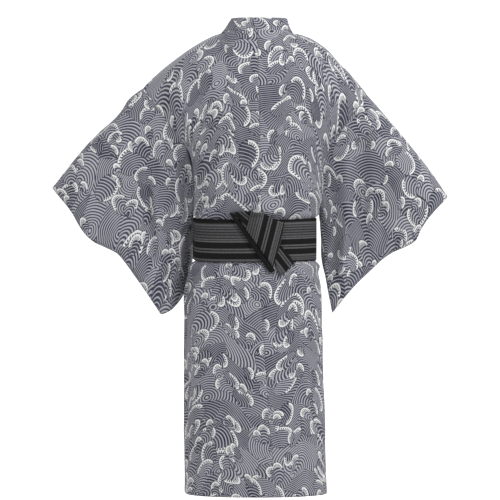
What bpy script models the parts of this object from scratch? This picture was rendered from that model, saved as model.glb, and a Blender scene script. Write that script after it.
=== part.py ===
"""Cotton yukata robe with its striped sash, held open as it hangs on a wearer.

Metres, +Z up. X runs to the wearer's right, and +Y is the way the wearer faces, so the back of the
robe faces -Y. The origin is at the base of the neck, where the shoulders carry the robe. A drop is a
distance below the origin. Angles go round the figure from the centre back, in degrees, positive
to the wearer's right, so 90 is the right side and -90 the left one.
"""

import math

import bmesh
import bpy
import numpy as np

# Cloth and seams
COTTON_WALL = 0.0015
COLLAR_WALL = 0.0030
COLLAR_STANDS_OUT = 0.0008
SASH_WALL = 0.0024
SEAM_GAP = 0.0003
WELD = 1e-6
LEAST_EDGE_COSINE = 0.42
SHARP_EDGE_ANGLE = 50

# The robe on a general figure
HEM_DROP = 1.322
HEM_RISE_BEHIND = 0.008
HEM_RISE_FROM = 1.0
ARMHOLE_END_DROP = 0.500
SECTION_ROUNDNESS = 2.3
OVERLAP_LIFT = 0.0062
COLLAR_WIDTH = 0.055
COLLAR_END_DROP = 0.760
TIP_DROP = 0.215
TIP_SLOPE = 0.10
UNDERARM_GAP = 0.0025

# How many steps each sheet has
NECK_STEPS = 3
SHOULDER_STEPS = 7
OVERLAP_STEPS = 4
COLLAR_STEPS = 2
SASH_STEPS = 44

# The share of the shoulder line that the back of the neck takes
NECK_SHARE = 0.26

# The shares of the way down in which the cloth turns over the shoulder, beside the neck and over
# the arm, and in which the left front comes to lie on the right one
TURN_BESIDE_NECK = 0.32
TURN_OVER_ARM = 0.17
OVERLAP_RISE = 0.22
OVERLAP_EDGE = 0.2

# The shares of a sleeve in which it closes at its top fold, low edge, seam and cuff, and of the
# cuff's opening where it begins to close
SLEEVE_TOP_TURN = 0.14
SLEEVE_LOW_TURN = 0.06
SLEEVE_SEAM_TURN = 0.16
SLEEVE_CUFF_TURN = 0.14
CUFF_CLOSES_FROM = 0.6

# Folds run on a little past their ends and fade out there, and towards seams and edges
FOLD_OVERRUN = 0.1
FOLD_FADE = 0.3
BACK_FOLD_FADE = (0.2, 0.2, 0.1)
SLEEVE_FOLD_FADE = (0.12, 0.1, 0.25)
SKIRT_FOLD_RISE = 0.08
SKIRT_FOLD_FALL = (0.15, 0.20)

# How the search for the collar line on a row goes: its two ends, and how often it is halved
COLLAR_SEARCH = (-0.6, 1.0)
COLLAR_HALVINGS = 30

SIDES = {"left": -1, "right": 1}
COTTON = (0.36, 0.36, 0.44)
COTTON_ROUGHNESS = 0.85
SASH = (0.045, 0.045, 0.05)
SASH_ROUGHNESS = 0.7


def table(names, rows):
    """The columns of a table, by name."""
    return {name: np.array(column, float) for name, column in zip(names.split(), zip(*rows))}


# Sections of the cloth round the figure: where the section is centred, its half width, its depth
# behind and in front of that centre, and how far the seams have turned round the figure.
FIGURE = table(
    "drop   centre   half_width  behind  in_front  turn",
    [
        (0.500, -0.001, 0.179, 0.117, 0.112, 2.5),
        (0.515, -0.002, 0.176, 0.113, 0.110, 2.7),
        (0.528, -0.0045, 0.167, 0.104, 0.104, 2.9),
        (0.590, -0.0045, 0.167, 0.103, 0.103, 3.4),
        (0.652, -0.0045, 0.167, 0.104, 0.104, 4.0),
        (0.668, -0.008, 0.177, 0.113, 0.110, 4.2),
        (0.710, -0.012, 0.189, 0.122, 0.114, 4.6),
        (0.850, -0.012, 0.196, 0.130, 0.118, 6.5),
        (1.050, -0.010, 0.201, 0.126, 0.119, 9.0),
        (HEM_DROP, -0.002, 0.203, 0.120, 0.118, 13.0),
    ],
)

# Where each seam lies round the figure, counted from the centre back seam.
SEAMS = table(
    "drop   side   overlap  edge",
    [
        (0.500, 104.0, 183.0, 190.0),
        (0.650, 104.0, 184.0, 208.0),
        (COLLAR_END_DROP, 103.5, 185.0, 224.0),
        (1.050, 103.0, 186.5, 231.0),
        (HEM_DROP, 102.0, 187.0, 236.0),
    ],
)

TUBE_DROPS = (0.500, 0.515, 0.528, 0.570, 0.612, 0.652, 0.668, 0.690, 0.722, COLLAR_END_DROP,
              0.815, 0.880, 0.955, 1.035, 1.120, 1.210, 1.270, HEM_DROP)
UPPER_ROWS = (0.0, 0.018, 0.05, 0.10, 0.16, 0.24, 0.32, 0.40, 0.49, 0.58, 0.68, 0.78, 0.88, 0.95, 1.0)

# Half of the neckline behind, from the centre back to the side of the neck, and the shoulder line
# from there to the sleeve seam.
NECK_BEHIND = table("x  y  z", [(0.0, -0.078, -0.004), (0.048, -0.071, -0.003),
                                (0.084, -0.046, -0.004), (0.100, -0.012, -0.009)])
NECK_IN_FRONT = table("x  y  z", [(0.0, 0.058, -0.050), (0.060, 0.045, -0.036), (0.100, -0.012, -0.009)])
SHOULDER = {
    "left": table("x  y  z", [(0.100, -0.012, -0.009), (0.122, -0.006, -0.016), (0.162, 0.0, -0.036),
                              (0.202, 0.0, -0.061), (0.242, 0.0, -0.091), (0.282, 0.0, -0.124),
                              (0.322, 0.0, -0.163)]),
    "right": table("x  y  z", [(0.100, -0.012, -0.009), (0.120, -0.006, -0.012), (0.158, 0.0, -0.028),
                               (0.198, 0.0, -0.054), (0.238, 0.0, -0.100), (0.265, 0.0, -0.125),
                               (0.311, 0.0, -0.182)]),
}

# The armhole seam, from the shoulder line down to the end of the armhole. Behind and in front are
# its depths there, once it has rounded the top of the arm.
ARMHOLE = {
    "left": table("down  x  z  behind  in_front",
                  [(0.00, 0.322, -0.163, -0.050, 0.050), (0.25, 0.258, -0.252, -0.056, 0.058),
                   (0.49, 0.197, -0.340, -0.040, 0.062), (0.62, 0.184, -0.385, -0.018, 0.056),
                   (0.80, 0.178, -0.442, 0.006, 0.044), (0.95, 0.176, -0.486, 0.021, 0.033),
                   (1.00, 0.0, -0.500, 0.0, 0.0)]),
    "right": table("down  x  z  behind  in_front",
                   [(0.00, 0.311, -0.182, -0.050, 0.050), (0.25, 0.254, -0.263, -0.056, 0.058),
                    (0.49, 0.202, -0.342, -0.040, 0.062), (0.62, 0.188, -0.385, -0.018, 0.056),
                    (0.80, 0.181, -0.442, 0.004, 0.046), (0.95, 0.180, -0.486, 0.020, 0.036),
                    (1.00, 0.0, -0.500, 0.0, 0.0)]),
}

# Depth of the robe behind and in front at its middle, from the shoulder line down to the armhole end.
MIDDLE_DEPTH = table("down  behind  in_front",
                     [(0.00, 0.092, 0.060), (0.15, 0.120, 0.082), (0.35, 0.134, 0.104),
                      (0.60, 0.133, 0.116), (0.80, 0.126, 0.116), (1.00, 0.117, 0.112)])

# The collar's free edge above the neckline's places, from the centre back to the side of the neck.
COLLAR_TOP = {
    "left": table("x  y  z", [(-0.004, -0.045, 0.0325), (0.040, -0.040, 0.0325), (0.070, -0.024, 0.031),
                              (0.0745, 0.012, 0.024)]),
    "right": table("x  y  z", [(0.004, -0.045, 0.0325), (0.046, -0.040, 0.0325), (0.081, -0.024, 0.031),
                               (0.0845, 0.012, 0.023)]),
}
COLLAR_LYING_ROW = 5
COLLAR_SLANT = 1.05
WAIST_ARC = 0.0026
FRONT_ARC = 0.185

# The collar's seam on the front: how far it lies from the middle at each drop. Past the middle it
# is below zero, on the other side.
COLLAR_LINE = table("drop  x", [(0.009, 0.100), (0.040, 0.112), (0.070, 0.108), (0.120, 0.090),
                                (0.190, 0.063), (0.300, 0.027), (0.400, -0.004), (0.500, -0.034)])

# Sleeves: the arm line from the sleeve seam to the cuff, the cuff from its top to its lower corner,
# the lower edge from under the armhole to that corner, and how far the closed stretch under the
# armhole bows out.
ARM_LINE = {
    "left": table("x  y  z", [(0.322, 0.0, -0.163), (0.365, 0.0, -0.197), (0.389, 0.0, -0.234),
                              (0.459, 0.002, -0.299), (0.529, 0.008, -0.378), (0.583, 0.012, -0.447)]),
    "right": table("x  y  z", [(0.311, 0.0, -0.182), (0.359, 0.0, -0.236), (0.406, 0.0, -0.291),
                               (0.453, 0.002, -0.348), (0.501, 0.008, -0.409), (0.543, 0.012, -0.472)]),
}
CUFF_LINE = {
    "left": table("x  y  z", [(0.583, 0.012, -0.447), (0.534, 0.010, -0.503), (0.482, 0.006, -0.583),
                              (0.458, 0.004, -0.603), (0.420, 0.0, -0.621), (0.392, -0.002, -0.639),
                              (0.363, -0.004, -0.678), (0.316, -0.006, -0.744), (0.274, -0.006, -0.808)]),
    "right": table("x  y  z", [(0.543, 0.012, -0.472), (0.511, 0.010, -0.503), (0.482, 0.006, -0.536),
                               (0.456, 0.004, -0.580), (0.446, 0.002, -0.600), (0.406, 0.0, -0.619),
                               (0.370, -0.002, -0.640), (0.330, -0.004, -0.676),
                               (0.278, -0.006, -0.726), (0.215, -0.006, -0.803)]),
}
LOWER_EDGE = {
    "left": table("x  y  z", [(0.187, 0.109, -0.604), (0.187, 0.097, -0.668), (0.200, 0.069, -0.731),
                              (0.227, 0.028, -0.779), (0.254, 0.004, -0.802), (0.274, -0.006, -0.808)]),
    "right": table("x  y  z", [(0.190, 0.040, -0.548), (0.184, 0.040, -0.604), (0.185, 0.034, -0.654),
                               (0.195, 0.022, -0.700), (0.206, 0.006, -0.762), (0.215, -0.006, -0.803)]),
}
LOW_SEAM_BOW = {"left": 0.0035, "right": 0.0}
SLEEVE_COLUMNS = (0.0, 0.018, 0.06, 0.14, 0.24, 0.35, 0.46, 0.57, 0.68, 0.79, 0.88, 0.945, 0.984, 1.0)
SLEEVE_ARMHOLE_SHARE = 0.82
SLEEVE_LOW_ROWS = (0.855, 0.90, 0.945, 0.982, 1.0)
CUFF_OPENING_SHARE = 0.57
SLEEVE_HOLLOW = table("down  half_depth", [(0.0, 0.050), (0.2, 0.048), (0.4, 0.034), (0.6, 0.022),
                                           (0.8, 0.015), (1.0, 0.011)])
CUFF_HOLLOW = 0.036

# The largest folds. Each runs between two places given as drops and distances from the middle
# (x, positive to the wearer's right), with its half width and how far it stands out.
BACK_FOLDS = table(
    "x0     drop0  x1     drop1  width  out",
    [
        (-0.235, 0.140, -0.165, 0.420, 0.020, 0.007),
        (-0.190, 0.130, -0.120, 0.380, 0.018, -0.005),
        (0.225, 0.130, 0.165, 0.440, 0.020, 0.007),
        (0.180, 0.150, 0.110, 0.400, 0.018, -0.004),
        (-0.060, 0.440, -0.100, 0.520, 0.014, 0.005),
        (0.090, 0.430, 0.120, 0.520, 0.014, 0.005),
    ],
)
SLEEVE_FOLDS = {
    "left": table("x0     drop0  x1     drop1  width  out",
                  [(-0.300, 0.290, -0.330, 0.700, 0.020, -0.012), (-0.255, 0.320, -0.290, 0.760, 0.020, 0.012),
                   (-0.410, 0.330, -0.400, 0.600, 0.024, 0.008)]),
    "right": table("x0     drop0  x1     drop1  width  out",
                   [(0.300, 0.300, 0.300, 0.690, 0.020, -0.010), (0.252, 0.340, 0.250, 0.740, 0.018, 0.010),
                    (0.400, 0.350, 0.385, 0.600, 0.024, 0.008)]),
}
SKIRT_FOLDS = table(
    "angle  top    bottom  width  out",
    [
        (-72, 0.66, 1.16, 9, -0.008),
        (-52, 0.68, 1.28, 10, 0.005),
        (-20, 0.66, 0.86, 8, 0.004),
        (24, 0.66, 0.95, 9, -0.004),
        (58, 0.67, 1.30, 10, -0.006),
        (78, 0.68, 1.20, 8, 0.004),
        (128, 0.68, 1.30, 12, 0.006),
        (160, 0.70, 1.32, 11, -0.005),
        (-132, 0.70, 1.32, 12, -0.005),
        (-160, 0.68, 1.25, 11, 0.005),
    ],
)

# The sash: each turn is a band round the waist, with the drop of its upper edge behind and how much
# that edge rises to the wearer's right.
SASH_WIDTH = 0.108
SASH_MIDDLE = 0.590
SASH_TURNS = table("lift     upper   rise",
                   [(0.0014, 0.5325, 0.000), (0.0048, 0.5345, 0.004)])
SASH_OVER_OVERLAP = 0.0082
SASH_LIFTS_FROM = {"left": (84, 18), "right": (94, 16)}
SASH_END_ANGLE = 6.0
SASH_END_GAP = 0.6


# The knot lies on the sash behind. Each piece is a sheet with four edges, given by its corners and
# the places between them, clockwise from the upper left as seen from behind. Under is how far its
# inner side stands off the sash, crown how much further its middle does.
KNOT_STEPS = 5
KNOT_OFF_CLOTH = 0.004
KNOT = {
    "knot_wing": {
        "top": table("x  drop", [(-0.018, 0.508), (0.023, 0.517), (0.063, 0.537), (0.076, 0.540)]),
        "right": table("x  drop", [(0.076, 0.540), (0.066, 0.594), (0.0441, 0.6648)]),
        "low": table("x  drop", [(-0.0325, 0.5590), (0.0441, 0.6648)]),
        "left": table("x  drop", [(-0.018, 0.508), (-0.026, 0.540), (-0.0325, 0.5590)]),
        "under": 0.0066, "crown": 0.006, "thick": 0.0052,
    },
    "knot_top": {
        "top": table("x  drop", [(-0.0655, 0.511), (-0.014, 0.508)]),
        "right": table("x  drop", [(-0.014, 0.508), (-0.014, 0.545), (-0.0216, 0.5716)]),
        "low": table("x  drop", [(-0.0626, 0.5142), (-0.0216, 0.5716)]),
        "left": table("x  drop", [(-0.0655, 0.511), (-0.0626, 0.5142)]),
        "under": 0.0003, "crown": 0.0, "thick": 0.0056,
    },
    "knot_roll": {
        "top": table("x  drop", [(-0.078, 0.514), (-0.0656, 0.5140)]),
        "right": table("x  drop", [(-0.0656, 0.5140), (0.0514, 0.6755)]),
        "low": table("x  drop", [(0.034, 0.680), (0.0514, 0.6755)]),
        "left": table("x  drop", [(-0.078, 0.514), (0.034, 0.680)]),
        "under": 0.0003, "crown": 0.002, "thick": 0.0095,
    },
    "knot_tail": {
        "top": table("x  drop", [(0.036, 0.628), (0.066, 0.604)]),
        "right": table("x  drop", [(0.066, 0.604), (0.0927, 0.6365), (0.1039, 0.6563)]),
        "low": table("x  drop", [(0.064, 0.6925), (0.1039, 0.6563)]),
        "left": table("x  drop", [(0.036, 0.628), (0.050, 0.655), (0.064, 0.6925)]),
        "under": 0.0003, "crown": 0.0, "thick": 0.0056,
    },
}


def smooth(t):
    """A step from 0 to 1 with soft ends."""
    t = np.clip(t, 0.0, 1.0)
    return t * t * (3 - 2 * t)


def rounded(t):
    """A quarter circle's rise, from 0 to 1."""
    t = np.clip(t, 0.0, 1.0)
    return math.sqrt(max(0.0, 1 - (1 - t) ** 2))


def mix(first, second, t):
    return first + (second - first) * t


def through(at, knots, values):
    """A smooth curve through the values at the knots."""
    slopes = np.gradient(values, knots, axis=0)
    at = min(max(at, knots[0]), knots[-1])
    i = int(np.clip(np.searchsorted(knots, at) - 1, 0, len(knots) - 2))
    span = knots[i + 1] - knots[i]
    t = (at - knots[i]) / span
    start = (2 * t ** 3 - 3 * t ** 2 + 1) * values[i] + (t ** 3 - 2 * t ** 2 + t) * span * slopes[i]
    end = (3 * t ** 2 - 2 * t ** 3) * values[i + 1] + (t ** 3 - t ** 2) * span * slopes[i + 1]
    return start + end


def read(columns, key, name, at):
    """A table's column at a place along its key column."""
    return float(through(at, columns[key], columns[name]))


def along(curve, share):
    """The point at a share of the length of a curve through a table's places."""
    places = np.stack([curve["x"], curve["y"], curve["z"]], axis=1)
    steps = np.linalg.norm(np.diff(places, axis=0), axis=1)
    knots = np.concatenate([[0.0], np.cumsum(steps)]) / steps.sum()
    return through(share, knots, places)


def mirrored(point, side):
    """The tables give both sides as positive distances, and the left side is below zero."""
    return point * np.array([SIDES[side], 1.0, 1.0])


def ring_direction(angle):
    """Where an angle lies on a rounded section one unit wide: to the right, and behind."""
    sine = math.sin(math.radians(angle))
    cosine = math.cos(math.radians(angle))
    power = 2 / SECTION_ROUNDNESS
    return math.copysign(abs(sine) ** power, sine), math.copysign(abs(cosine) ** power, cosine)


def turned(angle):
    """The same angle between -180 and 180."""
    return (angle + 180) % 360 - 180


def skirt_fold(angle, drop):
    """How far the drape folds below the sash move the cloth outwards."""
    out = 0.0
    for middle, top, bottom, width, depth in zip(*SKIRT_FOLDS.values()):
        across = math.exp(-((turned(angle - middle) / width) ** 2))
        down = smooth((drop - top) / SKIRT_FOLD_RISE)
        down *= 1 - smooth((drop - bottom + SKIRT_FOLD_FALL[0]) / SKIRT_FOLD_FALL[1])
        out += depth * across * down
    return out


def figure_point(angle, drop, lift=0.0):
    """A point of the cloth round the figure, lifted off by the layers under it."""
    right, behind = ring_direction(angle)
    depth = read(FIGURE, "drop", "behind" if behind > 0 else "in_front", drop)
    out = lift + skirt_fold(angle, drop)
    x = read(FIGURE, "drop", "centre", drop) + (read(FIGURE, "drop", "half_width", drop) + out) * right
    y = -(depth + out) * behind
    rise = HEM_RISE_BEHIND * max(behind, 0.0) * smooth((drop - HEM_RISE_FROM) / (HEM_DROP - HEM_RISE_FROM))
    return np.array([x, y, rise - drop])


def overlap_lift(side, share):
    """The left front lies on the right one: how far it stands off, at a share from the middle."""
    return OVERLAP_LIFT * smooth((1.0 - share) / OVERLAP_EDGE) if side == "left" else 0.0


def side_angle(drop):
    return read(SEAMS, "drop", "side", drop)


def tube_point(side, angle, drop):
    """A point below the armholes, at an angle from the centre back seam towards one side."""
    share = (180 - angle) / (180 - side_angle(drop))
    lift = overlap_lift(side, share) if angle > side_angle(drop) else 0.0
    return figure_point(SIDES[side] * angle + read(FIGURE, "drop", "turn", drop), drop, lift)


def fold_out(folds, x, drop):
    """How far the folds of a table move a point outwards."""
    out = 0.0
    for x0, drop0, x1, drop1, width, depth in zip(*folds.values()):
        start = np.array([x0, drop0])
        run = np.array([x1, drop1]) - start
        place = np.array([x, drop]) - start
        t = float(place @ run / (run @ run))
        apart = abs(float(run[0] * place[1] - run[1] * place[0])) / np.linalg.norm(run)
        ends = smooth((t + FOLD_OVERRUN) / FOLD_FADE) * smooth((1 + FOLD_OVERRUN - t) / FOLD_FADE)
        out += depth * math.exp(-((apart / width) ** 2)) * ends
    return out


def arm_rounding(down, share):
    """How soon the cloth turns over the shoulder: sooner over the arm than beside the neck."""
    return rounded(down / mix(TURN_BESIDE_NECK, TURN_OVER_ARM, smooth(share)))


def armhole_point(side, face, down):
    """The armhole seam on the back (face "behind") or the front ("in_front")."""
    end = tube_point(side, side_angle(ARMHOLE_END_DROP), ARMHOLE_END_DROP)
    columns = dict(ARMHOLE[side])
    columns["x"] = np.append(columns["x"][:-1], abs(end[0]))
    columns[face] = np.append(columns[face][:-1], end[1])
    depth = read(columns, "down", face, down) * arm_rounding(down, 1.0)
    return mirrored(np.array([read(columns, "down", "x", down), depth, read(columns, "down", "z", down)]), side)


def top_point(side, face, share):
    """The neckline and then the shoulder line, from the middle to the sleeve seam."""
    if share <= NECK_SHARE:
        neck = NECK_BEHIND if face == "behind" else NECK_IN_FRONT
        return mirrored(along(neck, share / NECK_SHARE), side)
    return mirrored(along(SHOULDER[side], (share - NECK_SHARE) / (1 - NECK_SHARE)), side)


def end_angle(face, share):
    """The angle at the armhole's end of a share from the middle of the back or front to the side."""
    side = side_angle(ARMHOLE_END_DROP)
    return side * share if face == "behind" else 180 - (180 - side) * share


def upper_point(side, face, share, down):
    """A point of the back or front above the armhole's end. Share goes from the middle to the sleeve
    seam, and below zero past the middle. Down goes from the shoulder line to the armhole's end."""
    across = abs(share)
    on_side = side if share >= 0 else {"left": "right", "right": "left"}[side]
    angle = end_angle(face, across)
    plain_end = figure_point(SIDES[on_side] * angle + FIGURE["turn"][0], ARMHOLE_END_DROP)
    seam_end = armhole_point(on_side, face, 1.0)
    middle_end = figure_point(end_angle(face, 0.0) + FIGURE["turn"][0], ARMHOLE_END_DROP)
    top = top_point(on_side, face, across)
    middle_top = top_point(on_side, face, 0.0)
    seam_top = top_point(on_side, face, 1.0)
    seam = armhole_point(on_side, face, down)
    middle = mix(middle_top, middle_end, down)
    corners = mix(mix(middle_top, seam_top, across), mix(middle_end, seam_end, across), down)
    point = mix(top, plain_end, down) + mix(middle, seam, across) - corners
    sign = -1 if face == "behind" else 1
    bulge = (plain_end[1] - seam_end[1]) / (middle_end[1] - seam_end[1])
    flat_seam = seam[1] / max(arm_rounding(down, 1.0), 1e-9) if down > 0 else ARMHOLE[on_side][face][0]
    depth = mix(flat_seam, sign * read(MIDDLE_DEPTH, "down", face, down), bulge)
    point[1] = mix(top[1], depth, arm_rounding(down, across))
    if face == "behind":
        from_top, from_seam, from_end = BACK_FOLD_FADE
        fade = smooth(down / from_top) * smooth((1 - across) / from_seam) * smooth((1 - down) / from_end)
        point[1] -= fold_out(BACK_FOLDS, point[0], -point[2]) * fade
    elif side == "left":
        right, behind = ring_direction(angle)
        lift = overlap_lift(side, share) * smooth(down / OVERLAP_RISE)
        point += lift * np.array([right * SIDES[on_side], -behind, 0.0])
    return point


def back_columns():
    """Shares of the back's columns: the neckline's, then the shoulder's."""
    neck = [NECK_SHARE * i / NECK_STEPS for i in range(NECK_STEPS)]
    shoulder = [mix(NECK_SHARE, 1.0, i / SHOULDER_STEPS) for i in range(SHOULDER_STEPS + 1)]
    return neck + shoulder


def back_grid(side):
    """Rows of points from the neckline and shoulder to the hem."""
    columns = back_columns()
    rows = [[upper_point(side, "behind", share, down) for share in columns] for down in UPPER_ROWS[:-1]]
    rows += [[tube_point(side, share * side_angle(drop), drop) for share in columns] for drop in TUBE_DROPS]
    return rows


def collar_share(side, down):
    """Where the collar's seam crosses a row of the front."""
    low, high = COLLAR_SEARCH
    for _ in range(COLLAR_HALVINGS):
        middle = (low + high) / 2
        point = upper_point(side, "in_front", middle, down)
        line = read(COLLAR_LINE, "drop", "x", -point[2])
        if SIDES[side] * point[0] < line:
            low = middle
        else:
            high = middle
    return low


def tip_row():
    """The first row below the overlap panel's upper tip."""
    middle_drops = [-upper_point("left", "in_front", 0.3, down)[2] for down in UPPER_ROWS]
    return next(i for i, drop in enumerate(middle_drops) if drop > TIP_DROP)


def front_edges(side):
    """For each upper row, the shares of the front's inner edge and of the collar's seam."""
    first = tip_row() - 1
    lines = [NECK_SHARE] + [collar_share(side, down) for down in UPPER_ROWS[1:-1]]
    lines.append((180 - SEAMS["edge"][0]) / (180 - SEAMS["side"][0]))
    start = lines[first]
    end = (180 - SEAMS["overlap"][0]) / (180 - SEAMS["side"][0])
    edges = []
    for i, down in enumerate(UPPER_ROWS):
        t = (down - UPPER_ROWS[first]) / (1 - UPPER_ROWS[first])
        parted = lines[i] + TIP_SLOPE * (down - UPPER_ROWS[first])
        edges.append(max(mix(start, end, t), parted) if i > first else lines[i])
    edges[-1] = end
    return edges, lines


def front_grid(side):
    """Rows of points from the shoulder to the hem, each from the side seam to the inner edge."""
    edges, _ = front_edges(side)
    shares = [[mix(1.0, edge, i / SHOULDER_STEPS) for i in range(SHOULDER_STEPS + 1)] for edge in edges]
    rows = [[upper_point(side, "in_front", share, down) for share in row]
            for row, down in zip(shares[:-1], UPPER_ROWS[:-1])]
    for drop in TUBE_DROPS:
        start, end = side_angle(drop), read(SEAMS, "drop", "overlap", drop)
        rows.append([tube_point(side, mix(start, end, i / SHOULDER_STEPS), drop)
                     for i in range(SHOULDER_STEPS + 1)])
    return rows


def overlap_grid(side):
    """Rows of points from the overlap panel's tip to the hem, from its seam to its edge."""
    first = tip_row() - 1
    edges, lines = front_edges(side)
    rows = [[upper_point(side, "in_front", mix(edges[i], lines[i], j / OVERLAP_STEPS), UPPER_ROWS[i])
             for j in range(OVERLAP_STEPS + 1)] for i in range(first, len(UPPER_ROWS) - 1)]
    for drop in TUBE_DROPS:
        start, end = read(SEAMS, "drop", "overlap", drop), read(SEAMS, "drop", "edge", drop)
        rows.append([tube_point(side, mix(start, end, j / OVERLAP_STEPS), drop)
                     for j in range(OVERLAP_STEPS + 1)])
    return rows


def collar_rows(side):
    """The collar's places from the centre back to its end, as (kind, row, where its seam lies)."""
    _, lines = front_edges(side)
    rows = [("neck", i, NECK_SHARE * i / NECK_STEPS) for i in range(NECK_STEPS + 1)]
    rows += [("upper", i, lines[i]) for i in range(1, len(UPPER_ROWS) - 1)]
    last = TUBE_DROPS.index(COLLAR_END_DROP)
    return rows + [("tube", i, read(SEAMS, "drop", "edge", TUBE_DROPS[i])) for i in range(last + 1)]


def collar_point(side, place, across):
    """A point of the collar at a share of its width from its seam."""
    kind, row, where = place
    reach = COLLAR_WIDTH * COLLAR_SLANT * across
    if kind == "tube":
        return tube_point(side, where + reach / WAIST_ARC, TUBE_DROPS[row])
    if kind == "neck":
        seam = upper_point(side, "behind", where, 0.0)
        top = mirrored(np.array([COLLAR_TOP[side][key][row] for key in "xyz"]), side)
        return mix(seam, top, across)
    seam = upper_point(side, "in_front", where, UPPER_ROWS[row])
    flat = upper_point(side, "in_front", where - reach / FRONT_ARC, UPPER_ROWS[row])
    stand = np.array([COLLAR_TOP[side][key][-1] - SHOULDER[side][key][0] for key in "xyz"])
    return mix(seam + mirrored(stand, side) * across, flat, smooth(row / COLLAR_LYING_ROW))


def collar_grid():
    """Rows across the collar, from its left end round the neck to its right end."""
    halves = {}
    for side in SIDES:
        halves[side] = [[collar_point(side, place, j / COLLAR_STEPS) for j in range(COLLAR_STEPS + 1)]
                        for place in collar_rows(side)]
    return halves["left"][::-1] + halves["right"][1:]


def sleeve_shares():
    """Each row's share of the sleeve's depth, and its share of the armhole where it lies on it."""
    rows = [(down * SLEEVE_ARMHOLE_SHARE, down) for down in UPPER_ROWS]
    return rows + [(share, None) for share in SLEEVE_LOW_ROWS]


def sleeve_seam(side, share, down):
    """The sleeve's inner edge: its middle, and half the distance between its two layers."""
    if down is not None:
        behind = armhole_point(side, "behind", down)
        in_front = armhole_point(side, "in_front", down)
        apart = UNDERARM_GAP * SIDES[side] if down == 1.0 else 0.0
        return (behind + in_front) / 2 + np.array([apart, 0.0, 0.0]), (in_front[1] - behind[1]) / 2
    start = armhole_point(side, "behind", 1.0)
    end = mirrored(along(LOWER_EDGE[side], 0.0), side)
    t = (share - SLEEVE_ARMHOLE_SHARE) / (1 - SLEEVE_ARMHOLE_SHARE)
    bow = 4 * t * (1 - t) * LOW_SEAM_BOW[side] * SIDES[side]
    return mix(start, end, t) + np.array([bow, 0.0, 0.0]), 0.0


def sleeve_point(side, across, row):
    """The middle of the sleeve at a share from seam to cuff, and half the distance between layers."""
    share, down = row
    seam, seam_half = sleeve_seam(side, share, down)
    cuff = mirrored(along(CUFF_LINE[side], share), side)
    top = mirrored(along(ARM_LINE[side], across), side)
    low = mirrored(along(LOWER_EDGE[side], across), side)
    top_seam, top_cuff = (mirrored(along(ARM_LINE[side], end), side) for end in (0.0, 1.0))
    low_seam, low_cuff = (mirrored(along(LOWER_EDGE[side], end), side) for end in (0.0, 1.0))
    corners = mix(mix(top_seam, top_cuff, across), mix(low_seam, low_cuff, across), share)
    point = mix(top, low, share) + mix(seam, cuff, across) - corners
    turn = rounded(share / SLEEVE_TOP_TURN)
    closing = rounded((1 - share) / SLEEVE_LOW_TURN)
    inside = read(SLEEVE_HOLLOW, "down", "half_depth", share) * turn * closing
    open_cuff = 1 - smooth((share / CUFF_OPENING_SHARE - CUFF_CLOSES_FROM) / (1 - CUFF_CLOSES_FROM))
    cuff_half = CUFF_HOLLOW * turn * open_cuff if share < CUFF_OPENING_SHARE else 0.0
    half = mix(seam_half, inside, rounded(across / SLEEVE_SEAM_TURN))
    half = mix(cuff_half, half, rounded((1 - across) / SLEEVE_CUFF_TURN))
    fold = fold_out(SLEEVE_FOLDS[side], point[0], -point[2])
    from_seam, from_low, from_top = SLEEVE_FOLD_FADE
    point[1] -= fold * smooth(across / from_seam) * smooth((1 - share) / from_low) * smooth(share / from_top)
    return point, half


def sleeve_grids(side):
    """Rows of points of the sleeve's back layer and of its front layer."""
    behind, in_front = [], []
    for row in sleeve_shares():
        cells = [sleeve_point(side, across, row) for across in SLEEVE_COLUMNS]
        behind.append([point - np.array([0.0, half, 0.0]) for point, half in cells])
        in_front.append([point + np.array([0.0, half, 0.0]) for point, half in cells])
    return behind, in_front


def sheet_of(grids):
    """One sheet from grids of points, as (points, faces), with points at one place made one. Each
    grid comes with whether its faces are turned round."""
    points, faces, known = [], [], {}

    def index(point):
        key = tuple(int(round(value / WELD)) for value in point)
        if key not in known:
            known[key] = len(points)
            points.append(np.asarray(point, float))
        return known[key]

    for grid, flipped in grids:
        for upper, lower in zip(grid[:-1], grid[1:]):
            for i in range(len(upper) - 1):
                corners = [index(p) for p in (upper[i], upper[i + 1], lower[i + 1], lower[i])]
                corners = [c for n, c in enumerate(corners) if c != corners[n - 1]]
                if len(corners) > 2:
                    faces.append(corners[::-1] if flipped else corners)
    return np.array(points), faces


def face_normal(points, face):
    total = np.zeros(3)
    for n, corner in enumerate(face):
        total += np.cross(points[face[n - 1]], points[corner])
    return total


def place_of(point):
    return tuple(int(round(value / WELD)) for value in point)


def shared_normals(sheets):
    """One normal for each place, from the faces of every sheet that meets there."""
    normals = {}
    for points, faces in sheets.values():
        for face in faces:
            normal = face_normal(points, face)
            for corner in face:
                key = place_of(points[corner])
                normals[key] = normals.get(key, np.zeros(3)) + normal / np.linalg.norm(normal)
    return {key: value / np.linalg.norm(value) for key, value in normals.items()}


def owners(sheets):
    """How many sheets meet at each place."""
    count = {}
    for points, _ in sheets.values():
        for key in {place_of(point) for point in points}:
            count[key] = count.get(key, 0) + 1
    return count


def drawn_back(points, faces, count):
    """The points, with those on a seam drawn back from it by half of the gap."""
    edges = {}
    for face in faces:
        for n, corner in enumerate(face):
            edges.setdefault(frozenset((face[n - 1], corner)), []).append((face, face[n - 1], corner))
    pulls = {}
    for uses in edges.values():
        face, start, end = uses[0]
        if len(uses) > 1 or min(count[place_of(points[i])] for i in (start, end)) < 2:
            continue
        inward = np.cross(face_normal(points, face), points[end] - points[start])
        inward /= np.linalg.norm(inward)
        pulls.setdefault(start, []).append(inward)
        pulls.setdefault(end, []).append(inward)
    moved = points.copy()
    for i, ways in pulls.items():
        way = sum(ways)
        way /= max(np.linalg.norm(way), 1e-9)
        least = max(min(float(way @ other) for other in ways), 0.5)
        moved[i] += way * SEAM_GAP / 2 / least
    return moved


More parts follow.
